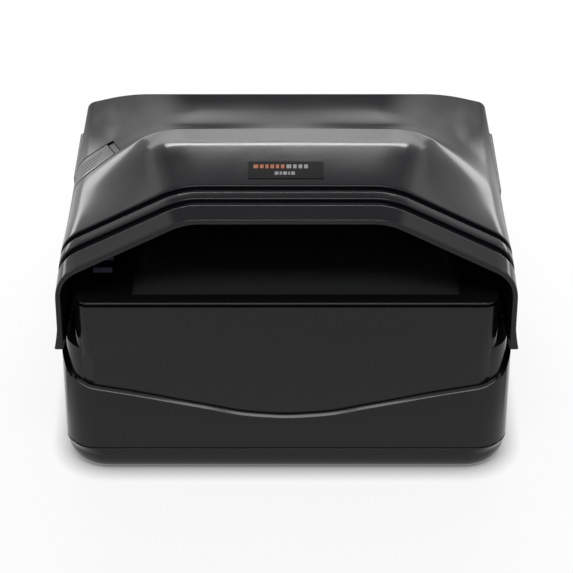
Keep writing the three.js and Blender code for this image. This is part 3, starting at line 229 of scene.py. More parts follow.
def plan(front_half, rear_half, front, rear, radius, arc=14, parts=60):
    """A four-sided outline with round corners, its straight sides divided into equal parts."""
    corners = [Vector(c) for c in (
        (-front_half, front), (front_half, front), (rear_half, rear), (-rear_half, rear))]
    points = []
    for i, corner in enumerate(corners):
        back = (corners[i - 1] - corner).normalized()
        ahead = (corners[(i + 1) % 4] - corner).normalized()
        half = math.acos(max(-1, min(1, back.dot(ahead)))) / 2
        centre = corner + (back + ahead).normalized() * (radius / math.sin(half))
        start = corner + back * (radius / math.tan(half)) - centre
        sweep = math.pi - 2 * half
        for k in range(arc + 1):
            points.append(centre + Matrix.Rotation(sweep * k / arc, 2) @ start)
    divided = []
    for i, point in enumerate(points):
        following = points[(i + 1) % len(points)]
        divided.append(point)
        if i % (arc + 1) == arc:
            divided += [point.lerp(following, k / parts) for k in range(1, parts)]
    return [(p.x, p.y) for p in divided]


def shell_plan(inset, corner=CORNER):
    half = WIDTH / 2 - inset
    return plan(half, half, depth(inset), depth(DEPTH - inset), max(corner - inset, 1))


def tray_foot_plan(inset):
    return shell_plan(inset, TRAY_FOOT_CORNER)


def neck_plan(inset):
    return plan(NECK_FRONT_HALF - inset, NECK_REAR_HALF - inset, depth(SHELL_STEP + inset),
                depth(NECK_REAR - inset), max(NECK_CORNER - inset, 1))


def ring(outline, profile):
    """Loops of one outline, each at an inset and height, joined into a closed ring.

    A loop may name an outline of its own, and its height may be a function of x."""
    verts, faces = [], []
    for inset, height, *own in profile:
        loop = (own[0] if own else outline)(inset)
        level = height if callable(height) else (lambda x, z=height: z)
        verts += [(x, y, level(x)) for x, y in loop]
    count = len(verts) // len(profile)
    for j in range(len(profile)):
        faces += side_faces(count, j * count, (j + 1) % len(profile) * count)
    return verts, faces


def layered(outline, profile):
    """Like a ring, but closed by flat faces at both ends."""
    verts, faces = ring(outline, profile)
    count = len(verts) // len(profile)
    faces = faces[:-count]
    faces.append(tuple(range(count))[::-1])
    faces.append(tuple(range(len(verts) - count, len(verts))))
    return verts, faces


def rounded_edge(top, radius, steps=5):
    """Insets and heights of a rounded outer edge, from the side wall in to the top."""
    turns = [math.pi / 2 * k / steps for k in range(steps + 1)]
    return [(radius * (1 - math.cos(turn)), top - radius * (1 - math.sin(turn))) for turn in turns]


# Materials


def shader_tree(name):
    material = bpy.data.materials.new(name)
    material.use_nodes = True
    nodes, links = material.node_tree.nodes, material.node_tree.links
    return material, nodes, links, nodes["Principled BSDF"]


def computed(nodes, links, operation, *values):
    """The result of a Math node whose values are numbers or other nodes' outputs."""
    node = nodes.new("ShaderNodeMath")
    node.operation = operation
    for socket, value in zip(node.inputs, values):
        if isinstance(value, float):
            socket.default_value = value
        else:
            links.new(value, socket)
    return node.outputs[0]


def noise(nodes, links, scale, detail=2.0):
    place = nodes.new("ShaderNodeTexCoord")
    texture = nodes.new("ShaderNodeTexNoise")
    texture.inputs["Scale"].default_value = scale
    texture.inputs["Detail"].default_value = detail
    links.new(place.outputs["Object"], texture.inputs["Vector"])
    return texture


def spread(nodes, links, source, low, high):
    """Maps the middle range of a noise to a range from low to high."""
    mapped = nodes.new("ShaderNodeMapRange")
    mapped.inputs["From Min"].default_value = 0.3
    mapped.inputs["From Max"].default_value = 0.7
    mapped.inputs["To Min"].default_value = low
    mapped.inputs["To Max"].default_value = high
    links.new(source, mapped.inputs["Value"])
    return mapped.outputs["Result"]


def soft_edges(nodes, links, radius, socket):
    """Rounds the shading of a plain solid's edges, with a radius in millimetres."""
    soft = nodes.new("ShaderNodeBevel")
    soft.samples = 4
    soft.inputs["Radius"].default_value = radius * MM
    links.new(soft.outputs["Normal"], socket)


def plastic(name, colour, rough, grain=0.0, grain_scale=4200.0, coat=0.0, edges=0.0,
            uneven=0.03, shine=0.27):
    """Moulded plastic: slightly uneven gloss, a fine grain and, on plain solids, soft edges."""
    material, nodes, links, shader = shader_tree(name)
    shader.inputs["Base Color"].default_value = (*colour, 1)
    shader.inputs["Specular IOR Level"].default_value = shine
    patches = noise(nodes, links, 38.0)
    links.new(spread(nodes, links, patches.outputs["Fac"], rough - uneven, rough + uneven),
              shader.inputs["Roughness"])
    shader.inputs["Coat Weight"].default_value = coat
    shader.inputs["Coat Roughness"].default_value = 0.06
    bump = None
    if grain:
        fine = noise(nodes, links, grain_scale, 1.0)
        bump = nodes.new("ShaderNodeBump")
        bump.inputs["Strength"].default_value = grain
        bump.inputs["Distance"].default_value = 0.000012
        links.new(fine.outputs["Fac"], bump.inputs["Height"])
        links.new(bump.outputs["Normal"], shader.inputs["Normal"])
    if edges:
        soft_edges(nodes, links, edges, (bump or shader).inputs["Normal"])
    return material


def metal(name, colour, rough, stretch=(1, 1, 1)):
    """Metal with a fine uneven gloss, which stretch can draw out into a brushed one."""
    material, nodes, links, shader = shader_tree(name)
    shader.inputs["Base Color"].default_value = (*colour, 1)
    shader.inputs["Metallic"].default_value = 1.0
    place = nodes.new("ShaderNodeTexCoord")
    mapping = nodes.new("ShaderNodeMapping")
    mapping.inputs["Scale"].default_value = stretch
    texture = nodes.new("ShaderNodeTexNoise")
    texture.inputs["Scale"].default_value = 900.0
    links.new(place.outputs["Object"], mapping.inputs["Vector"])
    links.new(mapping.outputs["Vector"], texture.inputs["Vector"])
    links.new(spread(nodes, links, texture.outputs["Fac"], rough - 0.08, rough + 0.08),
              shader.inputs["Roughness"])
    soft_edges(nodes, links, 0.2, shader.inputs["Normal"])
    return material


def glass(name, colour, rough=0.02, clear=1.0):
    material, nodes, links, shader = shader_tree(name)
    shader.inputs["Base Color"].default_value = (*colour, 1)
    shader.inputs["Roughness"].default_value = rough
    shader.inputs["IOR"].default_value = 1.5
    shader.inputs["Transmission Weight"].default_value = clear
    return material


BLACK = (0.0062, 0.0062, 0.0084)
SATIN = plastic("satin black plastic", BLACK, 0.14, grain=0.3, uneven=0.02, shine=0.29)
SATIN_CAD = plastic("satin black plastic, small parts", BLACK, 0.22, grain=0.3, edges=0.4)
DECK = plastic("gloss black plastic", (0.007, 0.007, 0.008), 0.09, uneven=0.02, shine=0.3)
LATCH = plastic("latch plastic", (0.035, 0.036, 0.038), 0.30, grain=0.3, shine=0.4)
# Near-black matt material that paints the shade inside the tab's slot and along the tongue's groove
SLOT_PAINTED_SHADE = plastic("painted slot shade", (0.0015, 0.0015, 0.0015), 0.6, shine=0.02)
MATT = plastic("matt black plastic", (0.012, 0.012, 0.013), 0.62, grain=0.5, edges=0.3)
RUBBER = plastic("black rubber", (0.011, 0.011, 0.011), 0.82, grain=0.8, grain_scale=2600.0,
                 edges=0.3)
WHITE = plastic("white plastic", (0.72, 0.72, 0.69), 0.45, edges=0.2)
CHIP = plastic("chip package", (0.014, 0.014, 0.016), 0.3, edges=0.1)
LIGHT = plastic("light guide", (0.36, 0.40, 0.62), 0.22, coat=0.5, uneven=0.02, edges=0.15)
STEEL = metal("zinc-plated steel", (0.56, 0.57, 0.58), 0.34)
ALUMINIUM = metal("extruded aluminium", (0.68, 0.69, 0.7), 0.4, (1, 0.05, 1))
COPPER = metal("copper track", (0.62, 0.33, 0.16), 0.36)
MIRROR = metal("front-silvered mirror", (0.86, 0.88, 0.89), 0.09)
WINDOW = glass("smoked window glass", (0.20, 0.205, 0.21), 0.08, 0.88)
LENS = glass("lens glass", (0.90, 0.94, 0.97))


def circuit_board():
    """Green solder mask with faint copper tracks under it."""
    material, nodes, links, shader = shader_tree("circuit board")
    place = nodes.new("ShaderNodeTexCoord")
    tracks = nodes.new("ShaderNodeTexBrick")
    tracks.inputs["Scale"].default_value = 320.0
    tracks.inputs["Color1"].default_value = (0.006, 0.075, 0.028, 1)
    tracks.inputs["Color2"].default_value = (0.010, 0.110, 0.042, 1)
    tracks.inputs["Mortar"].default_value = (0.004, 0.045, 0.018, 1)
    links.new(place.outputs["Object"], tracks.inputs["Vector"])
    links.new(tracks.outputs["Color"], shader.inputs["Base Color"])
    shader.inputs["Roughness"].default_value = 0.3
    return material


BOARD = circuit_board()

SLOT_MATERIALS = {
    "black_satin": SATIN_CAD, "deck_gloss": DECK, "inner_black": MATT, "latch_grey": LATCH,
    "rubber": RUBBER, "window_glass": WINDOW, "lens_glass": LENS, "light_guide": LIGHT,
    "circuit_board": BOARD, "steel": STEEL, "aluminium": ALUMINIUM, "copper": COPPER,
    "mirror": MIRROR, "white_plastic": WHITE, "chip_black": CHIP,
}
for part in frame["record"]["subparts"]:
    data = frame["nodes"][part["node"]].data
    data.materials.clear()
    data.materials.append(SLOT_MATERIALS[part["material_slot"]])


# Hood

# Each row is a place along the depth and then the columns below, close to the solids' rows. Widths
# are shares of the half width, and heights are shares of the hood's rise over the deck.
COLUMNS = range(1, 9)
(HALF_WIDTH, SHOULDER_HEIGHT, SHOULDER_ROUND, HIP_PLACE, HIP_HEIGHT, EDGE_PLACE, EDGE_HEIGHT,
 MIDDLE_HEIGHT) = COLUMNS
HOOD_ROWS = (
    (0.0, 1.003, 0.284, 0.226, 0.438, 0.875, 0.395, 0.875, 0.875),
    (0.1346, 0.992, 0.39, 0.205, 0.473, 0.948, 0.43, 0.948, 0.948),
    (0.3173, 0.983, 0.336, 0.194, 0.586, 0.983, 0.542, 1.0, 1.0),
    (0.3942, 0.98, 0.321, 0.183, 0.69, 0.858, 0.595, 0.981, 0.989),
    (0.5128, 0.977, 0.304, 0.172, 0.756, 0.659, 0.623, 0.797, 0.838),
    (0.7051, 0.972, 0.254, 0.14, 0.839, 0.435, 0.559, 0.582, 0.593),
    (0.9487, 0.966, 0.177, 0.086, 0.787, 0.278, 0.45, 0.278, 0.278),
    (0.9705, 0.95, 0.125, 0.086, 0.789, 0.224, 0.458, 0.224, 0.224),
    (0.9795, 0.92, 0.047, 0.086, 0.78, 0.134, 0.473, 0.134, 0.134),
)
# The crest's row and the one behind it crease the top, and from the roll's row on all is straight
CREST, ROLL = 2, 6
CREASES = {EDGE_HEIGHT: (CREST, CREST + 1), MIDDLE_HEIGHT: (CREST, CREST + 1)}
CREST_REACH = 2.4
# How far the hip is averaged along the depth to either side, in millimetres, and the place behind
# which it no longer is
HIP_REACH, HIP_REAR, HIP_STEPS = 8.0, 0.7, 6
# Half width of the softening across the top, in millimetres, at places along the depth
SOFTENING = ((0.0, 6.0), (0.1346, 9.0), (0.3173, 11.0), (0.3942, 11.0), (0.5128, 12.0),
             (0.7051, 15.0), (0.9487, 9.0), (1.0, 6.0))
# Places from the front and insets that round the hood's front edge, outside and in its mouth
FRONT_ROUNDING = ((0.0, 0.5), (0.04, 0.3), (0.15, 0.13), (0.3, 0.04), (0.5, 0.0))
MOUTH_ROUNDING = ((-1.0, -0.5), (0.0, -0.5), (0.1, -0.2), (0.4, 0.0))
REAR_PLACES = (146.6, 147.3, 148, 148.7, 149.4, 150.2, 151, 151.8, 152.3, HOOD_REAR)
# Points on a shoulder and from there to the middle, and how far below the shoulder they start
SHOULDER_STEPS, TOP_STEPS, BELOW_SHOULDER = 14, 52, 12
# How much of a side a rounded corner may take, and how far a sharp mitre may stretch
MOST_ROUNDED, SHARPEST_MITRE = 0.48, 0.3


def slopes(column):
    """Slopes of a curve through the rows that never overshoots."""
    xs = [row[0] for row in HOOD_ROWS]
    ys = [row[column] for row in HOOD_ROWS]
    rise = [(ys[i + 1] - ys[i]) / (xs[i + 1] - xs[i]) for i in range(len(xs) - 1)]
    out = [rise[0]]
    for a, b in zip(rise, rise[1:]):
        out.append(0.0 if a * b <= 0 else 2 * a * b / (a + b))
    return xs, ys, rise, out + [rise[-1]]


CURVES = {column: slopes(column) for column in COLUMNS}


def hood_value(column, place):
    """A column's value at a place along the depth, on a smooth curve through the rows."""
    xs, ys, rise, tangent = CURVES[column]
    i = max(0, min(len(xs) - 2, sum(1 for x in xs if x <= place) - 1))
    span = xs[i + 1] - xs[i]
    t = max(0.0, min(1.0, (place - xs[i]) / span))
    straight = CREASES.get(column, ()) + (ROLL,)
    if i >= ROLL:
        return ys[i] + rise[i] * span * t
    start = rise[i] if i in straight else tangent[i]
    end = rise[i] if i + 1 in straight else tangent[i + 1]
    if i == CREST - 1 and column in CREASES:
        end = 2 * rise[i] - start
    a = (1 + 2 * t) * (1 - t) ** 2 * ys[i] + t * (1 - t) ** 2 * span * start
    b = t * t * (3 - 2 * t) * ys[i + 1] + t * t * (t - 1) * span * end
    return a + b


def eased_value(column, place):
    """A row value, with the top's crest and the hip rounded over a few millimetres."""
    if column in (HIP_PLACE, HIP_HEIGHT):
        reach = max(0.0, min(HIP_REACH / DEPTH, place, HIP_REAR - place))
        steps = range(-HIP_STEPS, HIP_STEPS + 1)
        return sum(hood_value(column, place + reach * k / HIP_STEPS) for k in steps) / len(steps)
    crest, reach = HOOD_ROWS[CREST][0], CREST_REACH / DEPTH
    if column not in CREASES or abs(place - crest) >= reach:
        return hood_value(column, place)
    t = (place - crest + reach) / (2 * reach)
    before, top, after = (hood_value(column, crest + step) for step in (-reach, 0, reach))
    return before * (1 - t) ** 2 + top * 2 * t * (1 - t) + after * t * t


def softening(place):
    """Half width of the softening across the top at a place along the depth."""
    for (p0, w0), (p1, w1) in zip(SOFTENING, SOFTENING[1:]):
        if place <= p1:
            return w0 + (w1 - w0) * (place - p0) / (p1 - p0)
    return SOFTENING[-1][1]


class Path:
    """A path of straight pieces, with its running integral for averages along it."""

    def __init__(self, corners):
        self.corners = corners
        self.at, self.sums = [0.0], [Vector((0, 0))]
        for a, b in zip(corners, corners[1:]):
            length = (b - a).length
            self.at.append(self.at[-1] + length)
            self.sums.append(self.sums[-1] + (a + b) / 2 * length)

    def integral(self, s):
        i = max(0, min(len(self.corners) - 2, sum(1 for t in self.at if t <= s) - 1))
        a, b = self.corners[i], self.corners[i + 1]
        along = s - self.at[i]
        point = a + (b - a) * (along / max(self.at[i + 1] - self.at[i], 1e-9))
        return self.sums[i] + (a + point) / 2 * along

    def average(self, s, half):
        return (self.integral(s + half) - self.integral(s - half)) / (2 * half)


def softened_top(start, hip, edge, middle, half, count):
    """Points from the shoulder to the middle of the top, its folds averaged over a width."""
    mirrored = [Vector((-p.x, p.y)) for p in (edge, hip, start)]
    path = Path([start, hip, edge, middle] + mirrored)
    total = path.at[3]
    points = []
    for k in range(1, count):
        s = total * k / count
        points.append(path.average(s, min(half, s * 0.98)))
    return points


def soft_corner(before, corner, after, reach, steps):
    """A corner drawn as a curve that starts and ends at most a reach away from it."""
    start = corner.lerp(before, min(reach / max((before - corner).length, 1e-6), MOST_ROUNDED))
    end = corner.lerp(after, min(reach / max((after - corner).length, 1e-6), MOST_ROUNDED))
    points = []
    for k in range(steps + 1):
        t = k / steps
        points.append(start * (1 - t) ** 2 + corner * 2 * t * (1 - t) + end * t * t)
    return points


def moved_in(corners, inset):
    """The corners of a path moved to its inner side by an inset."""
    out = []
    for i, corner in enumerate(corners):
        before, after = corners[max(i - 1, 0)], corners[min(i + 1, len(corners) - 1)]
        arrive = (after - corner if i == 0 else corner - before).normalized()
        leave = (arrive if i == len(corners) - 1 else after - corner).normalized()
        side = Vector((-arrive.y - leave.y, arrive.x + leave.x)).normalized()
        stretch = 1 / max(side.dot(Vector((-arrive.y, arrive.x))), SHARPEST_MITRE)
        out.append(corner + side * inset * stretch)
    return out


def hood_loop(from_front, inset, bottom, flared=True):
    """One closed loop of the hood, from its right foot over the top to its left foot."""
    place = from_front / DEPTH
    value = {column: eased_value(column, place) for column in COLUMNS}
    half = WIDTH / 2 * value[HALF_WIDTH]
    corners = [
        Vector((half, SKIRT_BOTTOM)),
        Vector((half, DECK_TOP + HOOD_RISE * value[SHOULDER_HEIGHT])),
        Vector((half * value[HIP_PLACE], DECK_TOP + HOOD_RISE * value[HIP_HEIGHT])),
        Vector((half * value[EDGE_PLACE], DECK_TOP + HOOD_RISE * value[EDGE_HEIGHT])),
        Vector((0, DECK_TOP + HOOD_RISE * value[MIDDLE_HEIGHT])),
    ]
    foot, shoulder, hip, edge, middle = moved_in(corners, inset)
    middle.x = 0
    loop = hood_side(foot.x, shoulder.y, bottom, flared)
    reach = max(HOOD_RISE * value[SHOULDER_ROUND] - inset, 2)
    loop += soft_corner(foot, shoulder, hip, reach, SHOULDER_STEPS)
    loop += softened_top(loop[-1], hip, edge, middle, softening(place), TOP_STEPS)
    middle = Vector((0, Path([edge, middle, Vector((-edge.x, edge.y))]).average(
        edge.x, softening(place)).y))
    left = [Vector((-p.x, p.y)) for p in reversed(loop)]
    return [(p.x, depth(from_front), p.y) for p in loop + [middle] + left]


def hood_side(x, shoulder, bottom, flared):
    """The side wall's points, which lean out towards a softened foot."""
    out = FLARE if flared else 0.0
    flare_top = SKIRT_BOTTOM + FLARE_HEIGHT
    side = [Vector((x + out - 0.35, bottom)), Vector((x + out - 0.1, bottom + 0.1)),
            Vector((x + out, bottom + 0.35))]
    for k in range(1, 7):
        t = (k / 6) ** 0.8
        side.append(Vector((x + out * (1 - t) ** 1.3, bottom + (flare_top - bottom) * t)))
    straight = shoulder - BELOW_SHOULDER - flare_top
    return side + [Vector((x, flare_top + straight * k / 5)) for k in range(1, 5)]


def groove_inset(from_front):
    """How far the skin is pressed in by the two grooves, whose edges are rounded."""
    for front in GROOVE_FRONTS:
        inside = min(from_front - front, front + GROOVE_WIDTH - from_front)
        if inside > 0.001:
            return GROOVE_DEPTH
        if inside > -GROOVE_EDGE:
            across = inside + GROOVE_EDGE
            return GROOVE_EDGE - math.sqrt(max(GROOVE_EDGE ** 2 - across ** 2, 0))
    return 0.0


def spread_places(start, end, step):
    """Places from start to end, in equal steps of about the given length."""
    count = max(1, round((end - start) / step))
    return [start + (end - start) * k / count for k in range(count + 1)]


def hood_stations():
    """Places along the hood's depth, each with how far the skin is pressed in there."""
    places = spread_places(1.8, 8.0, 1.5)
    for front in GROOVE_FRONTS:
        rear = front + GROOVE_WIDTH
        steps = [GROOVE_EDGE * (1 - part) for part in (0, 0.3, 0.55, 0.75, 0.9, 1)]
        places += [front - step for step in steps] + [front + 0.06, front + 0.7, rear - 0.7]
        places += [rear - 0.06] + [rear + step for step in reversed(steps)] + [rear + 1.4]
    places += spread_places(23.5, 46, 2.5) + spread_places(46.5, 52.5, 0.5)
    places += spread_places(53.2, 59.5, 2) + [60.4, 61, 61.5, 62, 62.6]
    places += spread_places(64, 145, 2.4)
    places += REAR_PLACES
    return [*FRONT_ROUNDING, *((at, groove_inset(at)) for at in places)]


def lofted(name, loops):
    """A closed skin over loops that all have as many points."""
    count = len(loops[0])
    verts = [p for loop in loops for p in loop]
    faces = []
    for s in range(len(loops) - 1):
        faces += side_faces(count, s * count, (s + 1) * count)
    faces.append(tuple(range(count)))
    faces.append(tuple(range(len(verts) - count, len(verts))))
    return loose(name, verts, faces)


def hood_room(inset, rear):
    """The room inside the hood, with a softened mouth at its front."""
    places = spread_places(3, 47, 6) + [49.5] + spread_places(53, 59, 3) + [61.5]
    places += spread_places(66, 146, 5) + [rear]
    bottom = SKIRT_BOTTOM - 1
    loops = [hood_loop(max(at, 0), inset + grow, bottom, False) for at, grow in MOUTH_ROUNDING]
    loops[0] = [(x, depth(MOUTH_ROUNDING[0][0]), z) for x, _, z in loops[0]]
    loops += [hood_loop(at, inset, bottom, False) for at in places]
    return lofted("cutter", loops)


def hood_solid(name):
    """The hollow hood, open below and at its front, with a relief over the hinge."""
    loops = [hood_loop(at, grow, SKIRT_BOTTOM) for at, grow in hood_stations()]
    obj = lofted(name, loops)
    cut(obj, hood_room(HOOD_WALL, HOOD_REAR - HOOD_REAR_WALL))
    cut(obj, cutting_box(-WIDTH, WIDTH, depth(RELIEF_FRONT), DEPTH, 0, RELIEF_TOP))
    return obj


def tab_inner(at):
    """Where the latch tab ends across the hood; the end slants in towards the front."""
    return -LATCH_INNER + LATCH_SLANT / (LATCH_REAR - LATCH_FRONT) * (LATCH_MIDDLE - at)


def latch_prism(clearance, room):
    """The latch tab's outline over the left shoulder, with a clearance and room at its end."""
    front, rear = LATCH_FRONT - clearance, LATCH_REAR + clearance
    outline = ((-WIDTH, front), (tab_inner(LATCH_FRONT) + room, front),
               (tab_inner(LATCH_REAR) + room, rear), (-WIDTH, rear))
    loops = [[(x, depth(y), z) for x, y in outline] for z in (LATCH_LOW - clearance, 2 * WIDTH)]
    return lofted("cutter", loops)


def skin_height(x, at):
    """Height of the hood's skin at a place across and along it."""
    loop = hood_loop(at, 0, SKIRT_BOTTOM)
    for (x0, _, z0), (x1, _, z1) in zip(loop, loop[1:]):
        if x1 <= abs(x) < x0:
            return z0 + (z1 - z0) * (abs(x) - x0) / (x1 - x0)
    return loop[len(loop) // 2][2]


def add_rod(name, facts, body):
    """A satin black round bar with soft edges."""
    obj = new_piece(name, *rod_mesh(*facts), body, SATIN, "black_satin")
    bevelled(obj, 0.2)
    smooth(obj)
    return obj


def tongue_room():
    """The recess under the hood's skin into which the tab's tongue slides."""
    loops = []
    steps = spread_places(RECESS_START, TONGUE_LENGTH + RECESS_PAST, 0.8)
    for at in spread_places(LATCH_FRONT - RECESS_ASIDE, LATCH_REAR + RECESS_ASIDE, 3):
        across = [tab_inner(at) + step for step in steps]
        tops = [(x, depth(at), skin_height(x, at) - TONGUE_SINK + RECESS_OVER) for x in across]
        loops.append(tops + [(x, y, z - RECESS_DEPTH) for x, y, z in reversed(tops)])
    return lofted("cutter", loops)


def paint_shade_on_walls(obj, clearance):
    """Paints shade on the upright walls of the tab's slot: a near-black matt material stands in for
    their shadow.
    """
    obj.data.materials.append(SLOT_PAINTED_SHADE)
    front, rear = depth(LATCH_FRONT - clearance - 0.1), depth(LATCH_REAR + clearance + 0.1)
    for face in obj.data.polygons:
        x, y = face.center.x / MM, face.center.y / MM
        upright = abs(face.normal.z) < 0.1
        beside = abs(face.normal.y) > 0.8
        at_end = x > -LATCH_INNER - LATCH_SLANT - 1 and abs(face.normal.x) > 0.8
        if front < y < rear and x < -WIDTH / 4 and upright and (beside or at_end):
            face.material_index = 1


def build_hood():
    hood = hood_solid("hood_cover")
    tab = linked("latch_cap", hood.data.copy())
    cut(hood, latch_prism(LATCH_GAP, LATCH_ROOM))
    cut(hood, tongue_room())
    smooth(hood)
    dress(hood, "hood", SATIN, ("hood",))
    paint_shade_on_walls(hood, LATCH_GAP)
    cut(tab, latch_prism(0, 0), "INTERSECT")
    bevelled(tab, 0.2, 50)
    smooth(tab)
    dress(tab, "latch", LATCH, ("latch_tab",))
    paint_shade_on_walls(tab, 0)
    for name, side in (("left", -1), ("right", 1)):
        ends, pivot = (side * BOSS_INNER, side * BOSS_OUTER), (depth(PIVOT_Y), PIVOT_Z)
        boss = add_rod(f"hinge_boss_{name}", ("x", BOSS_RADIUS, *ends, *pivot), "hood")
        bore_ends = side * (BOSS_INNER - 0.5), side * (BOSS_OUTER - 0.2)
        cut(boss, cutting_rod("x", BOSS_BORE, *bore_ends, *pivot))
        smooth(boss)


def build_tongue():
    """The thin tongue at the inner end of the tab, with a groove, which closes the slot."""
    steps = [(-1, TONGUE_GROOVE_DEPTH), (TONGUE_GROOVE - 0.1, TONGUE_GROOVE_DEPTH)]
    steps += [(step, 0) for step in spread_places(TONGUE_GROOVE, TONGUE_LENGTH, 0.8)]
    loops = []
    for at in spread_places(LATCH_FRONT - 0.45, LATCH_REAR + 0.45, 3):
        across = [(tab_inner(at) + step, drop) for step, drop in steps]
        tops = [(x, depth(at), skin_height(x, at) - TONGUE_SINK - drop) for x, drop in across]
        loops.append(tops + [(x, y, z - TONGUE_THICKNESS) for x, y, z in reversed(tops)])
    tongue = lofted("latch_tongue", loops)
    smooth(tongue)
    dress(tongue, "latch", LATCH)
    # The faces along the tongue's groove get the painted slot shade, a near-black standing in for
    # the groove's shadow; the groove's dip itself is real
    tongue.data.materials.append(SLOT_PAINTED_SHADE)
    for face in tongue.data.polygons:
        at = face.center.y / MM + DEPTH / 2
        if face.center.x / MM < tab_inner(at) + TONGUE_GROOVE:
            face.material_index = 1


def build_ribs():
    """Low finger ribs across the tab."""
    profile = ((-0.5, -0.3), (0.5, -0.3), (0.5, 0.05), (0.25, 0.22), (-0.25, 0.22), (-0.5, 0.05))
    for k, at in enumerate(RIB_PLACES):
        loops = []
        for x in spread_places(RIB_OUTER, RIB_INNER + k * RIB_STEP, 1.0):
            high = skin_height(x, at)
            loops.append([(x, depth(at + y), high + z) for y, z in profile])
        rib = lofted(f"latch_rib_{k + 1}", loops)
        smooth(rib, 50)
        dress(rib, "latch", LATCH)


def add_box(name, corners, body, material, slot, replaced=(), soften=0.3):
    obj = new_piece(name, *box_mesh(*corners), body, material, slot, replaced)
    bevelled(obj, soften)
    smooth(obj)
    return obj


def build_latch_leg():
    """The leg under the tab, and the nose at its foot that grips the catch."""
    leg = ("latch_leg", -LEG_OUTER, -LEG_INNER, LEG_TOP)
    nose = ("latch_nose", -NOSE_END, -LEG_INNER - 1, LEG_BOTTOM + NOSE_HEIGHT)
    for name, start, end, top in (leg, nose):
        corners = (start, end, depth(LEG_FRONT), depth(LEG_REAR), LEG_BOTTOM, top)
        add_box(name, corners, "latch", LATCH, "latch_grey")


def build_spring():
    """The latch spring as the solid has it, on a mesh of its own."""
    spring = linked("latch_coil", bpy.data.objects["latch_spring"].data.copy())
    dress(spring, "hood", STEEL, ("latch_spring",))
    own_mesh(spring)


# Lower body

# Shares of the half width, and shares of the lip's rise from the middle to the sides
LIP_POINTS = (
    (0, 0), (0.105, 0.02), (0.208, 0.062), (0.341, 0.171), (0.475, 0.279), (0.607, 0.391),
    (0.696, 0.461), (0.784, 0.523), (0.882, 0.601), (0.931, 0.686), (0.97, 0.74), (1, 1),
)
# The lip's chamfer: insets from the shell's outside, and drops below the edge's height
LIP_CHAMFER = (
    (0.0, 0.85), (0.03, 0.72), (0.13, 0.58), (0.5, 0.26), (1.0, -0.15), (1.45, -0.5),
    (1.7, -0.62), (1.85, -0.6), (LIP_INNER, -0.4),
)


def lip_height(x):
    """Height of the lower shell's edge over the distance from the middle."""
    across = min(1.0, abs(x) / (WIDTH / 2))
    i = max(0, min(len(LIP_POINTS) - 2, sum(1 for p in LIP_POINTS if p[0] <= across) - 1))
    near = [LIP_POINTS[max(0, min(len(LIP_POINTS) - 1, j))] for j in (i - 1, i, i + 1, i + 2)]
    (x0, y0), (x1, y1), (x2, y2), (x3, y3) = near
    if i == 0:
        x0, y0 = -x2, y2
    t = (across - x1) / (x2 - x1)
    start = (y2 - y0) / (x2 - x0) * (x2 - x1)
    end = (y3 - y1) / (x3 - x1) * (x2 - x1) if x3 > x2 else y2 - y1
    up = ((1 + 2 * t) * (1 - t) ** 2 * y1 + t * (1 - t) ** 2 * start
          + t * t * (3 - 2 * t) * y2 + t * t * (t - 1) * end)
    return SHELL_BOTTOM + LIP_MIDDLE + (LIP_SIDE - LIP_MIDDLE) * up


def below_lip(drop):
    """Heights under the lower shell's edge; its chamfer flattens out towards the sides."""
    def height(x):
        share = max(0.0, min(1.0, (abs(x) - LIP_FLAT_START) / LIP_FLAT_LENGTH))
        return lip_height(x) - drop * (1 - LIP_FLAT_SHARE * share * share * (3 - 2 * share))
    return height


def cut_sockets(obj):
    """Cuts the openings of both sockets through a back wall."""
    for x, width, height in SOCKETS:
        half = width / 2 + SOCKET_ROOM
        cut(obj, cutting_box(x - half, x + half, depth(SOCKET_FRONT), depth(SOCKET_REAR),
                             SOCKET_LOW, SOCKET_HIGH + height))


def build_lower_shell():
    profile = [(0.3, SHELL_BOTTOM), (0.0, SHELL_BOTTOM + 0.3), (0.0, 22.0)]
    profile += [(inset, below_lip(drop)) for inset, drop in LIP_CHAMFER]
    profile.append((LIP_INNER, SHELL_BOTTOM))
    obj = new_piece("lower_case", *ring(shell_plan, profile), "base", SATIN, "black_satin",
                    ("lower_shell",))
    cut_sockets(obj)
    smooth(obj, 40)


def skirt_plan(inset):
    return shell_plan(SHELL_STEP + inset)


def block(outline, inset, bottom, top, name="cutter"):
    return loose(name, *layered(outline, [(inset, bottom), (inset, top)]))


def build_upper_housing():
    """One housing: a skirt and a narrower neck that share their front face."""
    whole = block(skirt_plan, 0, SHELL_BOTTOM, SHELF_TOP, "housing_case")
    cut(whole, block(neck_plan, 0, SHELF_TOP - NECK_OVERLAP, DECK_UNDER), "UNION")
    flatten(whole)
    cut(whole, block(skirt_plan, WALL, 0, SHELF_TOP - WALL))
    cut(whole, block(neck_plan, WALL, SHELF_TOP - NECK_ROOM_OVERLAP, 99))
    cut_sockets(whole)
    bevelled(whole, 0.5, 50)
    smooth(whole, 40)
    dress(whole, "base", SATIN, ("upper_housing",))


def build_lugs():
    """The housing's two lugs, which hold the hinge bushes."""
    pivot = (depth(PIVOT_Y), PIVOT_Z)
    for name, side in (("left", -1), ("right", 1)):
        ends = sorted((side * LUG_INNER, side * LUG_OUTER))
        lug = new_piece(f"hinge_lug_{name}", *rod_mesh("x", LUG_RADIUS, *ends, *pivot), "base",
                        SATIN, "black_satin")
        arm = cutting_box(*ends, depth(LUG_FRONT), pivot[0], PIVOT_Z - 4, PIVOT_Z + 4)
        cut(lug, arm, "UNION")
        cut(lug, cutting_rod("x", LUG_BORE, side * (LUG_INNER - 1), side * (LUG_OUTER + 1), *pivot))
        bevelled(lug, 0.25)
        smooth(lug)


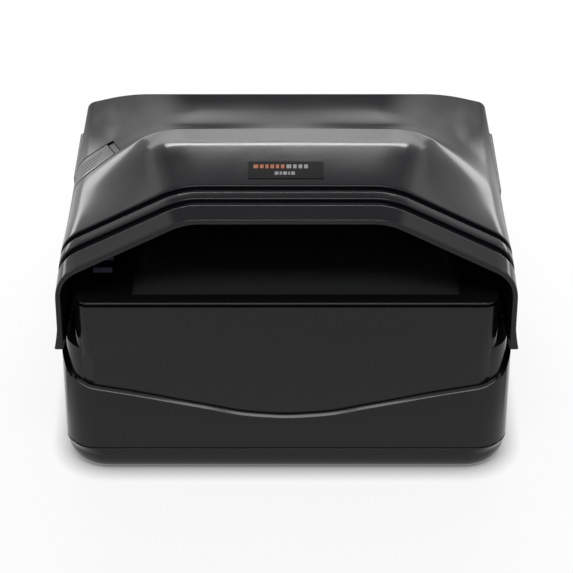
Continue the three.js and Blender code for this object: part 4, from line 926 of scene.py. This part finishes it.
def build_base_tray():
    profile, steps = [], 12
    for k in range(steps + 1):
        turn = math.pi / 2 * (1 - k / steps)
        profile.append((TRAY_CURVE_IN * (1 - math.cos(turn)),
                        TRAY_BOTTOM + TRAY_CURVE_UP * (1 - math.sin(turn)), tray_foot_plan))
    profile += [(0.0, TRAY_TOP - 0.3), (0.3, TRAY_TOP), (TRAY_WALL, TRAY_TOP),
                (TRAY_WALL, TRAY_FLOOR_TOP)]
    obj = new_piece("base_pan", *layered(shell_plan, profile), "base", SATIN, "black_satin",
                    ("base_tray",))
    cut_sockets(obj)
    for x in SCREW_XS:
        for y in SCREW_YS:
            cut(obj, cutting_rod("z", SCREW_HOLE, *SCREW_HOLE_ENDS, x, depth(y)))
            post = add_rod(f"screw_post_{'l' if x < 0 else 'r'}_{y}",
                           ("z", POST_RADIUS, POST_BOTTOM, TRAY_TOP, x, depth(y)), "base")
            cut(post, cutting_rod("z", POST_BORE, *POST_BORE_ENDS, x, depth(y)))
            smooth(post)
    smooth(obj, 40)


def deck_hole(left, right, front, rear, bottom=UNDER):
    """A box that cuts through the deck, or down to a height, between places in plan."""
    return cutting_box(left, right, depth(front), depth(rear), bottom, OVER)


def build_deck():
    profile = [(1.3, DECK_UNDER), (1.3, DECK_TOP - 1.05), (0.25, DECK_TOP - 0.95),
               (0.0, DECK_TOP - 0.75)]
    profile += rounded_edge(DECK_TOP, 0.5)
    obj = new_piece("deck_plate", *layered(neck_plan, profile), "base", DECK, "deck_gloss",
                    ("deck",))
    half = WINDOW_HALF + FIT
    cut(obj, deck_hole(WINDOW_X - half, WINDOW_X + half, WINDOW_FRONT - FIT, WINDOW_REAR + FIT))
    cut(obj, deck_hole(STRIP_LEFT, STRIP_RIGHT, WINDOW_FRONT - 1, WINDOW_REAR,
                       DECK_TOP - STRIP_DEPTH))
    cut(obj, deck_hole(*LEG_HOLE))
    half_x, half_y = STATUS_LENGTH / 2 + FIT, STATUS_WIDTH / 2 + FIT
    for at in STATUS_PLACES:
        cut(obj, deck_hole(STATUS_X - half_x, STATUS_X + half_x, at - half_y, at + half_y))
    bevelled(obj, 0.18, 40, 2)
    smooth(obj, 40)


def build_window():
    corners = (WINDOW_X - WINDOW_HALF, WINDOW_X + WINDOW_HALF, depth(WINDOW_FRONT),
               depth(WINDOW_REAR), WINDOW_BOTTOM, WINDOW_TOP)
    add_box("window_pane", corners, "base", WINDOW, "window_glass", ("window_glass",), 0.25)


# Name plate

ORANGE = plastic("orange bars", (0.34, 0.085, 0.014), 0.5, uneven=0.02)
PALE = plastic("pale bars", (0.24, 0.24, 0.25), 0.5, uneven=0.02)
PLATE = plastic("plate film", (0.004, 0.004, 0.005), 0.2, uneven=0.02, shine=0.06)


def patch(name, corners, thickness, material, place):
    """A thin flat piece on the sloping top; place turns plan points into the top's frame."""
    verts = [place @ Vector((x, y, z)) for z in (0, thickness) for x, y in corners]
    count = len(corners)
    faces = [tuple(range(count))[::-1], tuple(range(count, 2 * count))]
    return new_piece(name, verts, faces + side_faces(count, 0, count), "hood", material,
                     "deck_gloss")


def dashes(lengths, start, gap, y0, y1):
    """The corners of short bars in a row."""
    corners, x = [], start
    for length in lengths:
        corners.append(((x, y0), (x + length, y0), (x + length, y1), (x, y1)))
        x += length + gap
    return corners


def build_plate():
    """The name plate, with plain rows of short bars."""
    low, high = (DECK_TOP + HOOD_RISE * hood_value(MIDDLE_HEIGHT, at / DEPTH)
                 for at in (PLATE_FRONT, PLATE_FRONT + PLATE_LENGTH))
    middle = Vector((PLATE_X, depth(PLATE_FRONT + PLATE_LENGTH / 2),
                     (low + high) / 2 + PLATE_LIFT))
    place = (Matrix.Translation(middle)
             @ Matrix.Rotation(math.atan2(high - low, PLATE_LENGTH), 4, "X"))
    half, long = PLATE_WIDTH / 2, PLATE_LENGTH / 2
    corners = ((-half, -long), (half, -long), (half, long), (-half, long))
    plate = patch("label_plate", corners, PLATE_THICKNESS, PLATE, place)
    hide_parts("name_plate")
    place = place @ Matrix.Translation(Vector((0, 0, PLATE_THICKNESS)))
    rows = (
        ("orange", dashes((1.9, 1.4, 1.2, 1.5, 1.2, 1.4), -12.9, 0.75, 1.0, 3.5), ORANGE),
        ("pale", dashes((1.9, 1.4, 1.5, 1.5), 0.3, 0.75, 1.0, 3.5), PALE),
        ("small", dashes((1.5, 0.8, 1.6, 0.7, 1.4), -4.4, 0.5, -3.3, -1.2), PALE),
    )
    for row, bars, material in rows:
        for k, corners in enumerate(bars):
            patch(f"plate_mark_{row}_{k}", corners, BAR_THICKNESS, material, place)


# Light, floor and camera

LAMP_AIM = (0, 0, 0.12)
# Each lamp's name, place, size and brightness; the second group is there on both sides
LAMPS = (
    ("high strip behind", (0, 1.155, 0.943), (1.1, 0.1), 19.0),
    ("low strip behind", (0, 1.263, 0.768), (1.9, 0.17), 3.3),
    ("glow behind", (0, 1.346, 0.505), (1.55, 0.35), 1.8),
    ("overhead front", (0, -0.62, 1.12), (0.8, 0.3), 7.5),
)
SIDE_LAMPS = (
    ("behind", (0.787, 1.168, 0.112), (1.05, 0.2), 3.1),
    ("corner behind", (0.95, 0.98, 0.8), (0.24, 0.2), 0.5),
    ("side", (1.2, 0.15, 0.75), (0.5, 0.3), 3.0),
)
WORLD_LIGHT, FLOOR_WHITE, FLOOR_Z, FLOOR_HALF = 0.22, 0.83, -0.02, 4000
# How far the floor's contact shadow reaches, in metres
CONTACT_REACH = 0.009
FOCAL_LENGTH, SENSOR, CAMERA_PLACE, CAMERA_PITCH = 157.07, 36.0, (0.0, -0.9005, 0.6476), 34


def area(name, place, size, radiance):
    """A lamp given by how bright its face is, where 1 is white."""
    lamp = bpy.data.lights.new(name, "AREA")
    lamp.shape = "RECTANGLE"
    lamp.size, lamp.size_y = size
    lamp.energy = radiance * math.pi * size[0] * size[1]
    obj = linked(name, lamp)
    obj.location = place
    obj.rotation_euler = (Vector(LAMP_AIM) - Vector(place)).to_track_quat("-Z", "Y").to_euler()
    obj.visible_camera = False


def light_studio():
    for facts in LAMPS:
        area(*facts)
    for side_name, side in (("left", -1), ("right", 1)):
        for name, (x, y, z), size, radiance in SIDE_LAMPS:
            area(f"{side_name} {name}", (side * x, y, z), size, radiance)


def seen_white(nodes, links):
    """1 where the camera, a reflection or a view through glass meets the surface."""
    path = nodes.new("ShaderNodeLightPath").outputs
    either = computed(nodes, links, "MAXIMUM", path["Is Camera Ray"], path["Is Glossy Ray"])
    return computed(nodes, links, "MAXIMUM", either, path["Is Transmission Ray"])


def make_world():
    """White where it is seen, and a plain dim light on the object."""
    world = bpy.data.worlds.new("studio")
    SCENE.world = world
    world.use_nodes = True
    nodes, links = world.node_tree.nodes, world.node_tree.links
    background = nodes["Background"]
    background.inputs["Color"].default_value = (1, 1, 1, 1)
    strength = nodes.new("ShaderNodeMapRange")
    strength.inputs["To Min"].default_value = WORLD_LIGHT
    strength.inputs["To Max"].default_value = 1.0
    links.new(seen_white(nodes, links), strength.inputs["Value"])
    links.new(strength.outputs["Result"], background.inputs["Strength"])


def make_floor():
    """A floor that shows white, with a soft contact shadow for the camera."""
    signs = ((-1, -1), (1, -1), (1, 1), (-1, 1))
    verts = [(x * FLOOR_HALF, y * FLOOR_HALF, FLOOR_Z) for x, y in signs]
    mesh = bpy.data.meshes.new("floor")
    mesh.from_pydata([Vector(v) * MM for v in verts], [], [(0, 1, 2, 3)])
    floor = linked("floor", mesh)
    material, nodes, links, shader = shader_tree("white floor")
    shader.inputs["Roughness"].default_value = 0.7
    shader.inputs["Specular IOR Level"].default_value = 0.0
    shader.inputs["Base Color"].default_value = (0.2, 0.2, 0.2, 1)
    shader.inputs["Emission Color"].default_value = (1, 1, 1, 1)
    contact = nodes.new("ShaderNodeAmbientOcclusion")
    contact.samples = 16
    contact.inputs["Distance"].default_value = CONTACT_REACH
    path = nodes.new("ShaderNodeLightPath")
    darken = nodes.new("ShaderNodeMix")
    darken.inputs["A"].default_value = 1.0
    links.new(path.outputs["Is Camera Ray"], darken.inputs["Factor"])
    links.new(contact.outputs["AO"], darken.inputs["B"])
    seen = computed(nodes, links, "MULTIPLY", seen_white(nodes, links), FLOOR_WHITE)
    glow = computed(nodes, links, "MULTIPLY", darken.outputs["Result"], seen)
    links.new(glow, shader.inputs["Emission Strength"])
    mesh.materials.append(material)


def card(name, place, turn, size, brightness, fade):
    """A studio card that only reflections see; it fades out near its edges."""
    w, h = size[0] / 2, size[1] / 2
    mesh = bpy.data.meshes.new(name)
    mesh.from_pydata([(-w, 0, -h), (w, 0, -h), (w, 0, h), (-w, 0, h)], [], [(0, 1, 2, 3)])
    obj = linked(name, mesh)
    obj.location = place
    obj.rotation_euler = turn
    material, nodes, links, shader = shader_tree(name)
    shader.inputs["Base Color"].default_value = (0, 0, 0, 1)
    shader.inputs["Specular IOR Level"].default_value = 0.0
    shader.inputs["Emission Color"].default_value = (1, 1, 1, 1)
    shader.inputs["Emission Strength"].default_value = brightness
    place_node = nodes.new("ShaderNodeTexCoord")
    parts = nodes.new("ShaderNodeSeparateXYZ")
    links.new(place_node.outputs["Object"], parts.inputs["Vector"])
    shares = []
    for axis, half, width in (("X", w, fade[0]), ("Z", h, fade[1])):
        distance = computed(nodes, links, "ABSOLUTE", parts.outputs[axis])
        share = nodes.new("ShaderNodeMapRange")
        share.interpolation_type = "SMOOTHSTEP"
        share.inputs["From Min"].default_value = half
        share.inputs["From Max"].default_value = half - width
        links.new(distance, share.inputs["Value"])
        shares.append(share.outputs["Result"])
    links.new(computed(nodes, links, "MULTIPLY", *shares), shader.inputs["Alpha"])
    mesh.materials.append(material)
    obj.visible_camera = False
    obj.visible_diffuse = False
    obj.visible_shadow = False
    obj.visible_transmission = False


def make_cards():
    """Dark behind the hood, higher at its sides, and grey high behind the object."""
    card("rear card", (0, 0.125, 0.087), (0, 0, 0), (0.17, 0.047), 0.05, (0.04, 0.021))
    for name, side in (("left", -1), ("right", 1)):
        card(f"{name} rear card", (side * 0.1, 0.126, 0.0), (0, 0, 0), (0.11, 0.27), 0.36,
             (0.035, 0.04))
    card("high card", (0, 0.963, 1.398), (math.radians(53), 0, 0), (2.6, 0.7), 0.42, (0.3, 0.06))


def make_camera():
    camera = bpy.data.cameras.new("camera")
    camera.lens = FOCAL_LENGTH
    camera.sensor_width = SENSOR
    camera.clip_end = 20.0
    obj = linked("camera", camera)
    obj.location = CAMERA_PLACE
    obj.rotation_euler = (math.radians(90 - CAMERA_PITCH), 0, 0)
    SCENE.camera = obj


SCENE.view_settings.view_transform = "Standard"
make_camera()
make_world()
make_floor()
light_studio()
make_cards()

build_hood()
build_latch_leg()
build_spring()
build_tongue()
build_ribs()
build_lower_shell()
build_upper_housing()
build_lugs()
build_base_tray()
build_deck()
build_window()
build_plate()
